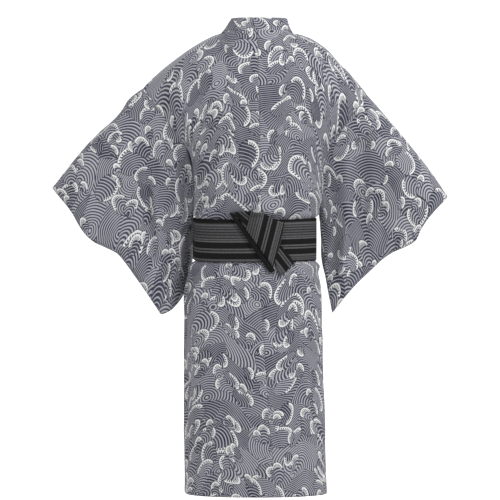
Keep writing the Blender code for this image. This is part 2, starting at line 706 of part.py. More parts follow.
def wall_mesh(name, points, faces, normals, inside, outside=0.0):
    """A closed wall: the sheet moved out, the sheet moved in, and a rim along its open edges."""
    mesh = bmesh.new()
    steep = [[] for _ in points]
    for face in faces:
        normal = face_normal(points, face)
        for corner in face:
            steep[corner].append(float(normals[corner] @ normal / np.linalg.norm(normal)))
    reach = [1 / max(float(np.mean(found)), LEAST_EDGE_COSINE) for found in steep]
    outer = [mesh.verts.new(p + n * outside * r) for p, n, r in zip(points, normals, reach)]
    inner = [mesh.verts.new(p - n * inside * r) for p, n, r in zip(points, normals, reach)]
    single = {}
    for face in faces:
        mesh.faces.new([outer[i] for i in face])
        mesh.faces.new([inner[i] for i in face[::-1]])
        for n, corner in enumerate(face):
            pair = (face[n - 1], corner)
            if pair[::-1] in single:
                del single[pair[::-1]]
            else:
                single[pair] = True
    for start, end in single:
        mesh.faces.new([outer[end], outer[start], inner[start], inner[end]])
    bmesh.ops.triangulate(mesh, faces=mesh.faces[:])
    return finished(name, mesh)


def finished(name, mesh):
    """A named object from a bmesh, shaded smooth except at its edges."""
    data = bpy.data.meshes.new(name)
    mesh.to_mesh(data)
    mesh.free()
    data.shade_smooth()
    data.set_sharp_from_angle(angle=math.radians(SHARP_EDGE_ANGLE))
    piece = bpy.data.objects.new(name, data)
    bpy.context.scene.collection.objects.link(piece)
    return piece


def coloured(piece, colour, roughness):
    """A plain material of the piece's own."""
    material = bpy.data.materials.new(piece.name)
    material.use_nodes = True
    shader = material.node_tree.nodes["Principled BSDF"]
    shader.inputs["Base Color"].default_value = (*colour, 1.0)
    shader.inputs["Roughness"].default_value = roughness
    shader.inputs["Metallic"].default_value = 0.0
    piece.data.materials.append(material)


def make_robe():
    """Every cotton piece, cut from one surface so that their seams match."""
    backs = {side: back_grid(side) for side in SIDES}
    fronts = {side: front_grid(side) for side in SIDES}
    overlaps = {side: overlap_grid(side) for side in SIDES}
    sheets = {}
    for side in SIDES:
        left = side == "left"
        sheets["back_" + side] = sheet_of([(backs[side], not left)])
        sheets["front_" + side] = sheet_of([(fronts[side], not left)])
        sheets["overlap_" + side] = sheet_of([(overlaps[side], not left)])
        behind, in_front = sleeve_grids(side)
        sheets["sleeve_" + side] = sheet_of([(behind, not left), (in_front, left)])
    sheets["collar"] = sheet_of([(collar_grid(), True)])
    normals = shared_normals(sheets)
    count = owners(sheets)
    for name, (points, faces) in sheets.items():
        own = [normals[place_of(point)] for point in points]
        moved = drawn_back(points, faces, count)
        if name == "collar":
            piece = wall_mesh(name, moved, faces, own, COLLAR_WALL - COLLAR_STANDS_OUT,
                              COLLAR_STANDS_OUT)
        else:
            piece = wall_mesh(name, moved, faces, own, COTTON_WALL)
        coloured(piece, COTTON, COTTON_ROUGHNESS)


def sash_radius(angle, lift):
    """The sash follows the waist, and stands off more where the front's layers lie under it."""
    rises = [smooth((SIDES[side] * turned(angle) - start) / span)
             for side, (start, span) in SASH_LIFTS_FROM.items()]
    return lift + SASH_OVER_OVERLAP * max(rises)


def make_sash_turn(name, turn):
    """One turn of the sash, whose ends meet under the knot."""
    lift, upper, rise = (SASH_TURNS[key][turn] for key in ("lift", "upper", "rise"))
    start = SASH_END_ANGLE + SASH_END_GAP / 2
    angles = [start + (360 - SASH_END_GAP) * i / SASH_STEPS for i in range(SASH_STEPS + 1)]
    grid = []
    for share in (0.0, 0.5, 1.0):
        row = []
        for angle in angles:
            right, behind = ring_direction(angle)
            point = figure_point(angle, SASH_MIDDLE, sash_radius(angle, lift) + SASH_WALL)
            point[2] = -(upper + SASH_WIDTH * share) + rise * right * max(behind, 0.0) ** 0.5
            row.append(point)
        grid.append(row)
    points, faces = sheet_of([(grid, True)])
    normals = shared_normals({name: (points, faces)})
    own = [normals[place_of(point)] for point in points]
    coloured(wall_mesh(name, points, faces, own, SASH_WALL), SASH, SASH_ROUGHNESS)


def knot_place(outline, across, down):
    """A place inside the four edges of a knot piece, as x and drop."""
    def edge(name, share):
        places = np.stack([outline[name]["x"], outline[name]["drop"]], axis=1)
        steps = np.linalg.norm(np.diff(places, axis=0), axis=1)
        knots = np.concatenate([[0.0], np.cumsum(steps)]) / steps.sum()
        return np.array([np.interp(share, knots, places[:, 0]), np.interp(share, knots, places[:, 1])])

    corners = mix(mix(edge("top", 0), edge("top", 1), across), mix(edge("low", 0), edge("low", 1), across), down)
    along_down = mix(edge("top", across), edge("low", across), down)
    return along_down + mix(edge("left", down), edge("right", down), across) - corners


def sash_face(x, drop, lift):
    """The point that lies off the sash's outer side, or off the cloth below it."""
    outside = SASH_TURNS["lift"][-1] + SASH_WALL
    cloth = read(FIGURE, "drop", "behind", drop) + KNOT_OFF_CLOTH
    depth = max(read(FIGURE, "drop", "behind", SASH_MIDDLE) + outside, cloth)
    half_width = read(FIGURE, "drop", "half_width", SASH_MIDDLE) + outside + lift
    centre = read(FIGURE, "drop", "centre", SASH_MIDDLE)
    behind = (1 - (abs(x - centre) / half_width) ** SECTION_ROUNDNESS) ** (1 / SECTION_ROUNDNESS)
    return np.array([x, -(depth + lift) * behind, -drop])


def make_knot_piece(name):
    outline = KNOT[name]
    shares = [i / KNOT_STEPS for i in range(KNOT_STEPS + 1)]
    grid = []
    for down in shares:
        row = []
        for across in shares:
            x, drop = knot_place(outline, across, down)
            crown = outline["crown"] * 16 * across * (1 - across) * down * (1 - down)
            row.append(sash_face(x, drop, outline["under"] + outline["thick"] + crown))
        grid.append(row)
    points, faces = sheet_of([(grid, True)])
    normals = shared_normals({name: (points, faces)})
    own = [normals[place_of(point)] for point in points]
    coloured(wall_mesh(name, points, faces, own, outline["thick"]), SASH, SASH_ROUGHNESS)


def main():
    for item in list(bpy.data.objects):
        bpy.data.objects.remove(item, do_unlink=True)
    make_robe()
    make_sash_turn("sash_inner", 0)
    make_sash_turn("sash_outer", 1)
    for name in KNOT:
        make_knot_piece(name)


main()
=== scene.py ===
"""Cotton yukata robe with its striped sash: the model as it looks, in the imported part's frame.

Metres, +Z up. X runs to the wearer's right and +Y is the way the wearer faces, so the camera looks at
the back from -Y. A drop is a distance below the origin. Angles go round the figure from the centre
back, in degrees, positive to the wearer's right.
"""

import math

import bmesh
import bpy
import numpy as np
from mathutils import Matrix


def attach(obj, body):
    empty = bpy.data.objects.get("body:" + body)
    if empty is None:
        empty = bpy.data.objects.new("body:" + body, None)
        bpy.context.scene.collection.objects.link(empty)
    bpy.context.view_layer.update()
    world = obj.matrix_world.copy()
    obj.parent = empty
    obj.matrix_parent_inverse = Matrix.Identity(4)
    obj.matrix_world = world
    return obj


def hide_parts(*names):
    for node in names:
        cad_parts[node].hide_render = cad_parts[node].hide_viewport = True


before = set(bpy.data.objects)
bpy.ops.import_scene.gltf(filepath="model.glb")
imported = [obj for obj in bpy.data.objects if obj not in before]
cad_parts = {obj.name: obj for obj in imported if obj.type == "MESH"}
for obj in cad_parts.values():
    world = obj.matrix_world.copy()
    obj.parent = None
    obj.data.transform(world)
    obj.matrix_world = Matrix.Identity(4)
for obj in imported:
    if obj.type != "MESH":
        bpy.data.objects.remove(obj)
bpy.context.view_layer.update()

# How far the collar stands off the fronts, and the wall of the sash's solids
COLLAR_STANDS_OUT = 0.0008
SASH_WALL = 0.0024

# The robe on a general figure
HEM_DROP = 1.322
HEM_RISE_BEHIND = 0.008
HEM_RISE_FROM = 1.0
ARMHOLE_END_DROP = 0.500
SECTION_ROUNDNESS = 2.3
OVERLAP_LIFT = 0.0062
COLLAR_WIDTH = 0.055
COLLAR_END_DROP = 0.760
TIP_DROP = 0.215
TIP_SLOPE = 0.10
TIP_READ_SHARE = 0.3
UNDERARM_GAP = 0.0025

# How many steps each sheet has
NECK_STEPS = 3
SHOULDER_STEPS = 7
OVERLAP_STEPS = 4
COLLAR_STEPS = 2
SASH_STEPS = 44

# The share of the shoulder line that the back of the neck takes
NECK_SHARE = 0.26

# The shares of the way down in which the cloth turns over the shoulder, beside the neck and over
# the arm, and in which the left front comes to lie on the right one
TURN_BESIDE_NECK = 0.32
TURN_OVER_ARM = 0.17
OVERLAP_RISE = 0.22
OVERLAP_EDGE = 0.2

# The shares of a sleeve in which it closes at its top fold, low edge, seam and cuff, and of the
# cuff's opening where it begins to close
SLEEVE_TOP_TURN = 0.14
SLEEVE_LOW_TURN = 0.06
SLEEVE_SEAM_TURN = 0.16
SLEEVE_CUFF_TURN = 0.14
CUFF_CLOSES_FROM = 0.6

# Folds run on a little past their ends and fade out there, and towards seams and edges
FOLD_OVERRUN = 0.1
FOLD_FADE = 0.3
BACK_FOLD_FADE = (0.2, 0.2, 0.1)
SLEEVE_FOLD_FADE = (0.12, 0.1, 0.25)
SKIRT_FOLD_RISE = 0.08
SKIRT_FOLD_FALL = (0.15, 0.20)

# How the search for the collar line on a row goes: its two ends, and how often it is halved
COLLAR_SEARCH = (-0.6, 1.0)
COLLAR_HALVINGS = 30

SIDES = {"left": -1, "right": 1}


def table(names, rows):
    """The columns of a table, by name."""
    return {name: np.array(column, float) for name, column in zip(names.split(), zip(*rows))}


# Sections of the cloth round the figure: where the section is centred, its half width, its depth
# behind and in front of that centre, and how far the seams have turned round the figure.
FIGURE = table(
    "drop   centre   half_width  behind  in_front  turn",
    [
        (0.500, -0.001, 0.179, 0.117, 0.112, 2.5),
        (0.515, -0.002, 0.176, 0.113, 0.110, 2.7),
        (0.528, -0.0045, 0.167, 0.104, 0.104, 2.9),
        (0.590, -0.0045, 0.167, 0.103, 0.103, 3.4),
        (0.652, -0.0045, 0.167, 0.104, 0.104, 4.0),
        (0.668, -0.008, 0.177, 0.113, 0.110, 4.2),
        (0.710, -0.012, 0.189, 0.122, 0.114, 4.6),
        (0.850, -0.012, 0.196, 0.130, 0.118, 6.5),
        (1.050, -0.010, 0.201, 0.126, 0.119, 9.0),
        (HEM_DROP, -0.002, 0.203, 0.120, 0.118, 13.0),
    ],
)

# Where each seam lies round the figure, counted from the centre back seam.
SEAMS = table(
    "drop   side   overlap  edge",
    [
        (0.500, 104.0, 183.0, 190.0),
        (0.650, 104.0, 184.0, 208.0),
        (COLLAR_END_DROP, 103.5, 185.0, 224.0),
        (1.050, 103.0, 186.5, 231.0),
        (HEM_DROP, 102.0, 187.0, 236.0),
    ],
)

TUBE_DROPS = (0.500, 0.515, 0.528, 0.570, 0.612, 0.652, 0.668, 0.690, 0.722, COLLAR_END_DROP,
              0.815, 0.880, 0.955, 1.035, 1.120, 1.210, 1.270, HEM_DROP)
UPPER_ROWS = (0.0, 0.018, 0.05, 0.10, 0.16, 0.24, 0.32, 0.40, 0.49, 0.58, 0.68, 0.78, 0.88, 0.95, 1.0)

# Half of the neckline behind, from the centre back to the side of the neck, and the shoulder line
# from there to the sleeve seam.
NECK_BEHIND = table("x  y  z", [(0.0, -0.078, -0.004), (0.048, -0.071, -0.003),
                                (0.084, -0.046, -0.004), (0.100, -0.012, -0.009)])
NECK_IN_FRONT = table("x  y  z", [(0.0, 0.058, -0.050), (0.060, 0.045, -0.036), (0.100, -0.012, -0.009)])
SHOULDER = {
    "left": table("x  y  z", [(0.100, -0.012, -0.009), (0.122, -0.006, -0.016), (0.162, 0.0, -0.036),
                              (0.202, 0.0, -0.061), (0.242, 0.0, -0.091), (0.282, 0.0, -0.124),
                              (0.322, 0.0, -0.163)]),
    "right": table("x  y  z", [(0.100, -0.012, -0.009), (0.120, -0.006, -0.012), (0.158, 0.0, -0.028),
                               (0.198, 0.0, -0.054), (0.238, 0.0, -0.100), (0.265, 0.0, -0.125),
                               (0.311, 0.0, -0.182)]),
}

# The armhole seam, from the shoulder line down to the end of the armhole. Behind and in front are
# its depths there, once it has rounded the top of the arm.
ARMHOLE = {
    "left": table("down  x  z  behind  in_front",
                  [(0.00, 0.322, -0.163, -0.050, 0.050), (0.25, 0.258, -0.252, -0.056, 0.058),
                   (0.49, 0.197, -0.340, -0.040, 0.062), (0.62, 0.184, -0.385, -0.018, 0.056),
                   (0.80, 0.178, -0.442, 0.006, 0.044), (0.95, 0.176, -0.486, 0.021, 0.033),
                   (1.00, 0.0, -0.500, 0.0, 0.0)]),
    "right": table("down  x  z  behind  in_front",
                   [(0.00, 0.311, -0.182, -0.050, 0.050), (0.25, 0.254, -0.263, -0.056, 0.058),
                    (0.49, 0.202, -0.342, -0.040, 0.062), (0.62, 0.188, -0.385, -0.018, 0.056),
                    (0.80, 0.181, -0.442, 0.004, 0.046), (0.95, 0.180, -0.486, 0.020, 0.036),
                    (1.00, 0.0, -0.500, 0.0, 0.0)]),
}

# Depth of the robe behind and in front at its middle, from the shoulder line down to the armhole end.
MIDDLE_DEPTH = table("down  behind  in_front",
                     [(0.00, 0.092, 0.060), (0.15, 0.120, 0.082), (0.35, 0.134, 0.104),
                      (0.60, 0.133, 0.116), (0.80, 0.126, 0.116), (1.00, 0.117, 0.112)])

# The collar's free edge above the neckline's places, from the centre back to the side of the neck.
COLLAR_TOP = {
    "left": table("x  y  z", [(-0.004, -0.045, 0.0325), (0.040, -0.040, 0.0325), (0.070, -0.024, 0.031),
                              (0.0745, 0.012, 0.024)]),
    "right": table("x  y  z", [(0.004, -0.045, 0.0325), (0.046, -0.040, 0.0325), (0.081, -0.024, 0.031),
                               (0.0845, 0.012, 0.023)]),
}
COLLAR_LYING_ROW = 5
COLLAR_SLANT = 1.05
WAIST_ARC = 0.0026
FRONT_ARC = 0.185

# The collar's seam on the front: how far it lies from the middle at each drop. Past the middle it
# is below zero, on the other side.
COLLAR_LINE = table("drop  x", [(0.009, 0.100), (0.040, 0.112), (0.070, 0.108), (0.120, 0.090),
                                (0.190, 0.063), (0.300, 0.027), (0.400, -0.004), (0.500, -0.034)])

# Sleeves: the arm line from the sleeve seam to the cuff, the cuff from its top to its lower corner,
# the lower edge from under the armhole to that corner, and how far the closed stretch under the
# armhole bows out.
ARM_LINE = {
    "left": table("x  y  z", [(0.322, 0.0, -0.163), (0.365, 0.0, -0.197), (0.389, 0.0, -0.234),
                              (0.459, 0.002, -0.299), (0.529, 0.008, -0.378), (0.583, 0.012, -0.447)]),
    "right": table("x  y  z", [(0.311, 0.0, -0.182), (0.359, 0.0, -0.236), (0.406, 0.0, -0.291),
                               (0.453, 0.002, -0.348), (0.501, 0.008, -0.409), (0.543, 0.012, -0.472)]),
}
CUFF_LINE = {
    "left": table("x  y  z", [(0.583, 0.012, -0.447), (0.534, 0.010, -0.503), (0.482, 0.006, -0.583),
                              (0.458, 0.004, -0.603), (0.420, 0.0, -0.621), (0.392, -0.002, -0.639),
                              (0.363, -0.004, -0.678), (0.316, -0.006, -0.744), (0.274, -0.006, -0.808)]),
    "right": table("x  y  z", [(0.543, 0.012, -0.472), (0.511, 0.010, -0.503), (0.482, 0.006, -0.536),
                               (0.456, 0.004, -0.580), (0.446, 0.002, -0.600), (0.406, 0.0, -0.619),
                               (0.370, -0.002, -0.640), (0.330, -0.004, -0.676),
                               (0.278, -0.006, -0.726), (0.215, -0.006, -0.803)]),
}
LOWER_EDGE = {
    "left": table("x  y  z", [(0.187, 0.109, -0.604), (0.187, 0.097, -0.668), (0.200, 0.069, -0.731),
                              (0.227, 0.028, -0.779), (0.254, 0.004, -0.802), (0.274, -0.006, -0.808)]),
    "right": table("x  y  z", [(0.190, 0.040, -0.548), (0.184, 0.040, -0.604), (0.185, 0.034, -0.654),
                               (0.195, 0.022, -0.700), (0.206, 0.006, -0.762), (0.215, -0.006, -0.803)]),
}
LOW_SEAM_BOW = {"left": 0.0035, "right": 0.0}
SLEEVE_COLUMNS = (0.0, 0.018, 0.06, 0.14, 0.24, 0.35, 0.46, 0.57, 0.68, 0.79, 0.88, 0.945, 0.984, 1.0)
SLEEVE_ARMHOLE_SHARE = 0.82
SLEEVE_LOW_ROWS = (0.855, 0.90, 0.945, 0.982, 1.0)
CUFF_OPENING_SHARE = 0.57
SLEEVE_HOLLOW = table("down  half_depth", [(0.0, 0.050), (0.2, 0.048), (0.4, 0.034), (0.6, 0.022),
                                           (0.8, 0.015), (1.0, 0.011)])
CUFF_HOLLOW = 0.036

# The largest folds. Each runs between two places given as drops and distances from the middle
# (x, positive to the wearer's right), with its half width and how far it stands out.
BACK_FOLDS = table(
    "x0     drop0  x1     drop1  width  out",
    [
        (-0.235, 0.140, -0.165, 0.420, 0.020, 0.007),
        (-0.190, 0.130, -0.120, 0.380, 0.018, -0.005),
        (0.225, 0.130, 0.165, 0.440, 0.020, 0.007),
        (0.180, 0.150, 0.110, 0.400, 0.018, -0.004),
        (-0.060, 0.440, -0.100, 0.520, 0.014, 0.005),
        (0.090, 0.430, 0.120, 0.520, 0.014, 0.005),
    ],
)
SLEEVE_FOLDS = {
    "left": table("x0     drop0  x1     drop1  width  out",
                  [(-0.300, 0.290, -0.330, 0.700, 0.020, -0.012),
                   (-0.255, 0.320, -0.290, 0.760, 0.020, 0.012),
                   (-0.410, 0.330, -0.400, 0.600, 0.024, 0.008)]),
    "right": table("x0     drop0  x1     drop1  width  out",
                   [(0.300, 0.300, 0.300, 0.690, 0.020, -0.010), (0.252, 0.340, 0.250, 0.740, 0.018, 0.010),
                    (0.400, 0.350, 0.385, 0.600, 0.024, 0.008)]),
}
SKIRT_FOLDS = table(
    "angle  top    bottom  width  out",
    [
        (-72, 0.66, 1.16, 9, -0.008),
        (-52, 0.68, 1.28, 10, 0.005),
        (-20, 0.66, 0.86, 8, 0.004),
        (24, 0.66, 0.95, 9, -0.004),
        (58, 0.67, 1.30, 10, -0.006),
        (78, 0.68, 1.20, 8, 0.004),
        (128, 0.68, 1.30, 12, 0.006),
        (160, 0.70, 1.32, 11, -0.005),
        (-132, 0.70, 1.32, 12, -0.005),
        (-160, 0.68, 1.25, 11, 0.005),
    ],
)

# The sash: each turn is a band round the waist, with the drop of its upper edge behind and how much
# that edge rises to the wearer's right.
SASH_WIDTH = 0.108
SASH_MIDDLE = 0.590
SASH_TURNS = table("lift     upper   rise",
                   [(0.0014, 0.5325, 0.000), (0.0048, 0.5345, 0.004)])
SASH_OVER_OVERLAP = 0.0082
SASH_LIFTS_FROM = {"left": (84, 18), "right": (94, 16)}
SASH_END_ANGLE = 6.0
SASH_END_GAP = 0.6
SASH_ROWS = (0.0, 0.25, 0.5, 0.75, 1.0)

# The knot lies on the sash behind. Each piece is a sheet with four edges, given by its corners and
# the places between them, clockwise from the upper left as seen from behind. Under is how far its
# inner side stands off the sash, crown how much further its middle does.
KNOT_OFF_CLOTH = 0.004
KNOT = {
    "knot_wing": {
        "top": table("x  drop", [(-0.018, 0.508), (0.023, 0.517), (0.063, 0.537), (0.076, 0.540)]),
        "right": table("x  drop", [(0.076, 0.540), (0.066, 0.594), (0.0441, 0.6648)]),
        "low": table("x  drop", [(-0.0325, 0.5590), (0.0441, 0.6648)]),
        "left": table("x  drop", [(-0.018, 0.508), (-0.026, 0.540), (-0.0325, 0.5590)]),
        "under": 0.0066, "crown": 0.006, "thick": 0.0052,
    },
    "knot_top": {
        "top": table("x  drop", [(-0.0655, 0.511), (-0.014, 0.508)]),
        "right": table("x  drop", [(-0.014, 0.508), (-0.014, 0.545), (-0.0216, 0.5716)]),
        "low": table("x  drop", [(-0.0626, 0.5142), (-0.0216, 0.5716)]),
        "left": table("x  drop", [(-0.0655, 0.511), (-0.0626, 0.5142)]),
        "under": 0.0003, "crown": 0.0, "thick": 0.0056,
    },
    "knot_roll": {
        "top": table("x  drop", [(-0.078, 0.514), (-0.0656, 0.5140)]),
        "right": table("x  drop", [(-0.0656, 0.5140), (0.0514, 0.6755)]),
        "low": table("x  drop", [(0.034, 0.680), (0.0514, 0.6755)]),
        "left": table("x  drop", [(-0.078, 0.514), (0.034, 0.680)]),
        "under": 0.0003, "crown": 0.002, "thick": 0.0095,
    },
    "knot_tail": {
        "top": table("x  drop", [(0.036, 0.628), (0.066, 0.604)]),
        "right": table("x  drop", [(0.066, 0.604), (0.0927, 0.6365), (0.1039, 0.6563)]),
        "low": table("x  drop", [(0.064, 0.6925), (0.1039, 0.6563)]),
        "left": table("x  drop", [(0.036, 0.628), (0.050, 0.655), (0.064, 0.6925)]),
        "under": 0.0003, "crown": 0.0, "thick": 0.0056,
    },
}


def smooth(t):
    """A step from 0 to 1 with soft ends, for one value or many."""
    t = np.clip(t, 0.0, 1.0)
    return t * t * (3 - 2 * t)


def rounded(t):
    """A quarter circle's rise, from 0 to 1."""
    t = np.clip(t, 0.0, 1.0)
    return math.sqrt(max(0.0, 1 - (1 - t) ** 2))


def mix(first, second, t):
    return first + (second - first) * t


def between(i, t, span, values, slopes):
    """A smooth curve from place i to the next one, at a share of the way."""
    start = (2 * t ** 3 - 3 * t ** 2 + 1) * values[i] + (t ** 3 - 2 * t ** 2 + t) * span * slopes[i]
    end = (3 * t ** 2 - 2 * t ** 3) * values[i + 1] + (t ** 3 - t ** 2) * span * slopes[i + 1]
    return start + end


def through(at, knots, values):
    """A smooth curve through the values at the knots."""
    slopes = np.gradient(values, knots, axis=0)
    at = min(max(at, knots[0]), knots[-1])
    i = int(np.clip(np.searchsorted(knots, at) - 1, 0, len(knots) - 2))
    span = knots[i + 1] - knots[i]
    return between(i, (at - knots[i]) / span, span, values, slopes)


def read(columns, key, name, at):
    """A table's column at a place along its key column."""
    return float(through(at, columns[key], columns[name]))


def shares_along(places):
    """The share of a line's length at each of its places."""
    steps = np.linalg.norm(np.diff(places, axis=0), axis=1)
    return np.concatenate([[0.0], np.cumsum(steps)]) / steps.sum()


def along(curve, share):
    """The point at a share of the length of a curve through a table's places."""
    places = np.stack([curve["x"], curve["y"], curve["z"]], axis=1)
    return through(share, shares_along(places), places)


def mirrored(point, side):
    """The tables give both sides as positive distances, and the left side is below zero."""
    return point * np.array([SIDES[side], 1.0, 1.0])


def on_line(lines, side, share):
    """The point at a share of a line that is given for both sides."""
    return mirrored(along(lines[side], share), side)


def filled(top, low, first, last, corners, across, down):
    """A point inside four edges, from the edges' points beside it and the four corners."""
    ends = [mix(*pair, across) for pair in corners]
    return mix(top, low, down) + mix(first, last, across) - mix(*ends, down)


def ring_direction(angle):
    """Where an angle lies on a rounded section one unit wide: to the right, and behind."""
    sine = math.sin(math.radians(angle))
    cosine = math.cos(math.radians(angle))
    power = 2 / SECTION_ROUNDNESS
    return math.copysign(abs(sine) ** power, sine), math.copysign(abs(cosine) ** power, cosine)


def turned(angle):
    """The same angle between -180 and 180."""
    return (angle + 180) % 360 - 180


def skirt_fold(angle, drop):
    """How far the drape folds below the sash move the cloth outwards."""
    out = 0.0
    for middle, top, bottom, width, depth in zip(*SKIRT_FOLDS.values()):
        across = math.exp(-((turned(angle - middle) / width) ** 2))
        down = smooth((drop - top) / SKIRT_FOLD_RISE)
        down *= 1 - smooth((drop - bottom + SKIRT_FOLD_FALL[0]) / SKIRT_FOLD_FALL[1])
        out += depth * across * down
    return out


def figure_point(angle, drop, lift=0.0):
    """A point of the cloth round the figure, lifted off by the layers under it."""
    right, behind = ring_direction(angle)
    depth = read(FIGURE, "drop", "behind" if behind > 0 else "in_front", drop)
    out = lift + skirt_fold(angle, drop)
    x = read(FIGURE, "drop", "centre", drop) + (read(FIGURE, "drop", "half_width", drop) + out) * right
    y = -(depth + out) * behind
    rise = HEM_RISE_BEHIND * max(behind, 0.0) * smooth((drop - HEM_RISE_FROM) / (HEM_DROP - HEM_RISE_FROM))
    return np.array([x, y, rise - drop])


def overlap_lift(side, share):
    """The left front lies on the right one: how far it stands off, at a share from the middle."""
    return OVERLAP_LIFT * smooth((1.0 - share) / OVERLAP_EDGE) if side == "left" else 0.0


def side_angle(drop):
    return read(SEAMS, "drop", "side", drop)


def tube_point(side, angle, drop):
    """A point below the armholes, at an angle from the centre back seam towards one side."""
    share = (180 - angle) / (180 - side_angle(drop))
    lift = overlap_lift(side, share) if angle > side_angle(drop) else 0.0
    return figure_point(SIDES[side] * angle + read(FIGURE, "drop", "turn", drop), drop, lift)


def fold_out(folds, x, drop):
    """How far the folds of a table move a point outwards, or many points."""
    out = 0.0
    for x0, drop0, x1, drop1, width, depth in zip(*folds.values()):
        run = np.array([x1 - x0, drop1 - drop0])
        t = ((x - x0) * run[0] + (drop - drop0) * run[1]) / (run @ run)
        apart = np.abs(run[0] * (drop - drop0) - run[1] * (x - x0)) / np.linalg.norm(run)
        ends = smooth((t + FOLD_OVERRUN) / FOLD_FADE) * smooth((1 + FOLD_OVERRUN - t) / FOLD_FADE)
        out = out + depth * np.exp(-((apart / width) ** 2)) * ends
    return out


def arm_rounding(down, share):
    """How soon the cloth turns over the shoulder: sooner over the arm than beside the neck."""
    return rounded(down / mix(TURN_BESIDE_NECK, TURN_OVER_ARM, smooth(share)))


def armhole_point(side, face, down):
    """The armhole seam on the back (face "behind") or the front ("in_front")."""
    end = tube_point(side, side_angle(ARMHOLE_END_DROP), ARMHOLE_END_DROP)
    columns = dict(ARMHOLE[side])
    columns["x"] = np.append(columns["x"][:-1], abs(end[0]))
    columns[face] = np.append(columns[face][:-1], end[1])
    x, depth, z = (read(columns, "down", name, down) for name in ("x", face, "z"))
    return mirrored(np.array([x, depth * arm_rounding(down, 1.0), z]), side)


def top_point(side, face, share):
    """The neckline and then the shoulder line, from the middle to the sleeve seam."""
    if share <= NECK_SHARE:
        neck = NECK_BEHIND if face == "behind" else NECK_IN_FRONT
        return mirrored(along(neck, share / NECK_SHARE), side)
    return on_line(SHOULDER, side, (share - NECK_SHARE) / (1 - NECK_SHARE))


def end_angle(face, share):
    """The angle at the armhole's end of a share from the middle of the back or front to the side."""
    side = side_angle(ARMHOLE_END_DROP)
    return side * share if face == "behind" else 180 - (180 - side) * share


def upper_point(side, face, share, down):
    """A point of the back or front above the armhole's end. Share goes from the middle to the sleeve
    seam, and below zero past the middle. Down goes from the shoulder line to the armhole's end."""
    across = abs(share)
    on_side = side if share >= 0 else {"left": "right", "right": "left"}[side]
    angle = end_angle(face, across)
    plain_end = figure_point(SIDES[on_side] * angle + FIGURE["turn"][0], ARMHOLE_END_DROP)
    seam_end = armhole_point(on_side, face, 1.0)
    middle_end = figure_point(end_angle(face, 0.0) + FIGURE["turn"][0], ARMHOLE_END_DROP)
    top = top_point(on_side, face, across)
    middle_top = top_point(on_side, face, 0.0)
    seam_top = top_point(on_side, face, 1.0)
    seam = armhole_point(on_side, face, down)
    middle = mix(middle_top, middle_end, down)
    corners = ((middle_top, seam_top), (middle_end, seam_end))
    point = filled(top, plain_end, middle, seam, corners, across, down)
    sign = -1 if face == "behind" else 1
    bulge = (plain_end[1] - seam_end[1]) / (middle_end[1] - seam_end[1])
    flat_seam = seam[1] / max(arm_rounding(down, 1.0), 1e-9) if down > 0 else ARMHOLE[on_side][face][0]
    depth = mix(flat_seam, sign * read(MIDDLE_DEPTH, "down", face, down), bulge)
    point[1] = mix(top[1], depth, arm_rounding(down, across))
    if face == "behind":
        from_top, from_seam, from_end = BACK_FOLD_FADE
        fade = smooth(down / from_top) * smooth((1 - across) / from_seam) * smooth((1 - down) / from_end)
        point[1] -= fold_out(BACK_FOLDS, point[0], -point[2]) * fade
    elif side == "left":
        right, behind = ring_direction(angle)
        lift = overlap_lift(side, share) * smooth(down / OVERLAP_RISE)
        point += lift * np.array([right * SIDES[on_side], -behind, 0.0])
    return point


def back_columns():
    """Shares of the back's columns: the neckline's, then the shoulder's."""
    neck = [NECK_SHARE * i / NECK_STEPS for i in range(NECK_STEPS)]
    shoulder = [mix(NECK_SHARE, 1.0, i / SHOULDER_STEPS) for i in range(SHOULDER_STEPS + 1)]
    return neck + shoulder


def sheet_grid(side, face, first, shares, seams, columns):
    """Rows of points from a sheet's first upper row to the hem. Above the armhole's end each row lies
    between two shares, and below it between two seams."""
    rows = [[upper_point(side, face, mix(*ends, column), down) for column in columns]
            for ends, down in zip(shares, UPPER_ROWS[first:-1])]
    for drop in TUBE_DROPS:
        start, end = (read(SEAMS, "drop", seam, drop) if seam else 0.0 for seam in seams)
        rows.append([tube_point(side, mix(start, end, column), drop) for column in columns])
    return rows


def even_columns(steps):
    """Shares of the way across, in even steps."""
    return [i / steps for i in range(steps + 1)]


def back_grid(side):
    """Rows of points from the neckline and shoulder to the hem."""
    return sheet_grid(side, "behind", 0, [(0.0, 1.0)] * len(UPPER_ROWS), (None, "side"), back_columns())


def collar_share(side, down):
    """Where the collar's seam crosses a row of the front."""
    low, high = COLLAR_SEARCH
    for _ in range(COLLAR_HALVINGS):
        middle = (low + high) / 2
        point = upper_point(side, "in_front", middle, down)
        line = read(COLLAR_LINE, "drop", "x", -point[2])
        if SIDES[side] * point[0] < line:
            low = middle
        else:
            high = middle
    return low


def tip_row():
    """The first row below the overlap panel's upper tip."""
    middle_drops = [-upper_point("left", "in_front", TIP_READ_SHARE, down)[2] for down in UPPER_ROWS]
    return next(i for i, drop in enumerate(middle_drops) if drop > TIP_DROP)


def front_edges(side):
    """For each upper row, the shares of the front's inner edge and of the collar's seam."""
    first = tip_row() - 1
    lines = [NECK_SHARE] + [collar_share(side, down) for down in UPPER_ROWS[1:-1]]
    lines.append((180 - SEAMS["edge"][0]) / (180 - SEAMS["side"][0]))
    start = lines[first]
    end = (180 - SEAMS["overlap"][0]) / (180 - SEAMS["side"][0])
    edges = []
    for i, down in enumerate(UPPER_ROWS):
        t = (down - UPPER_ROWS[first]) / (1 - UPPER_ROWS[first])
        parted = lines[i] + TIP_SLOPE * (down - UPPER_ROWS[first])
        edges.append(max(mix(start, end, t), parted) if i > first else lines[i])
    edges[-1] = end
    return edges, lines


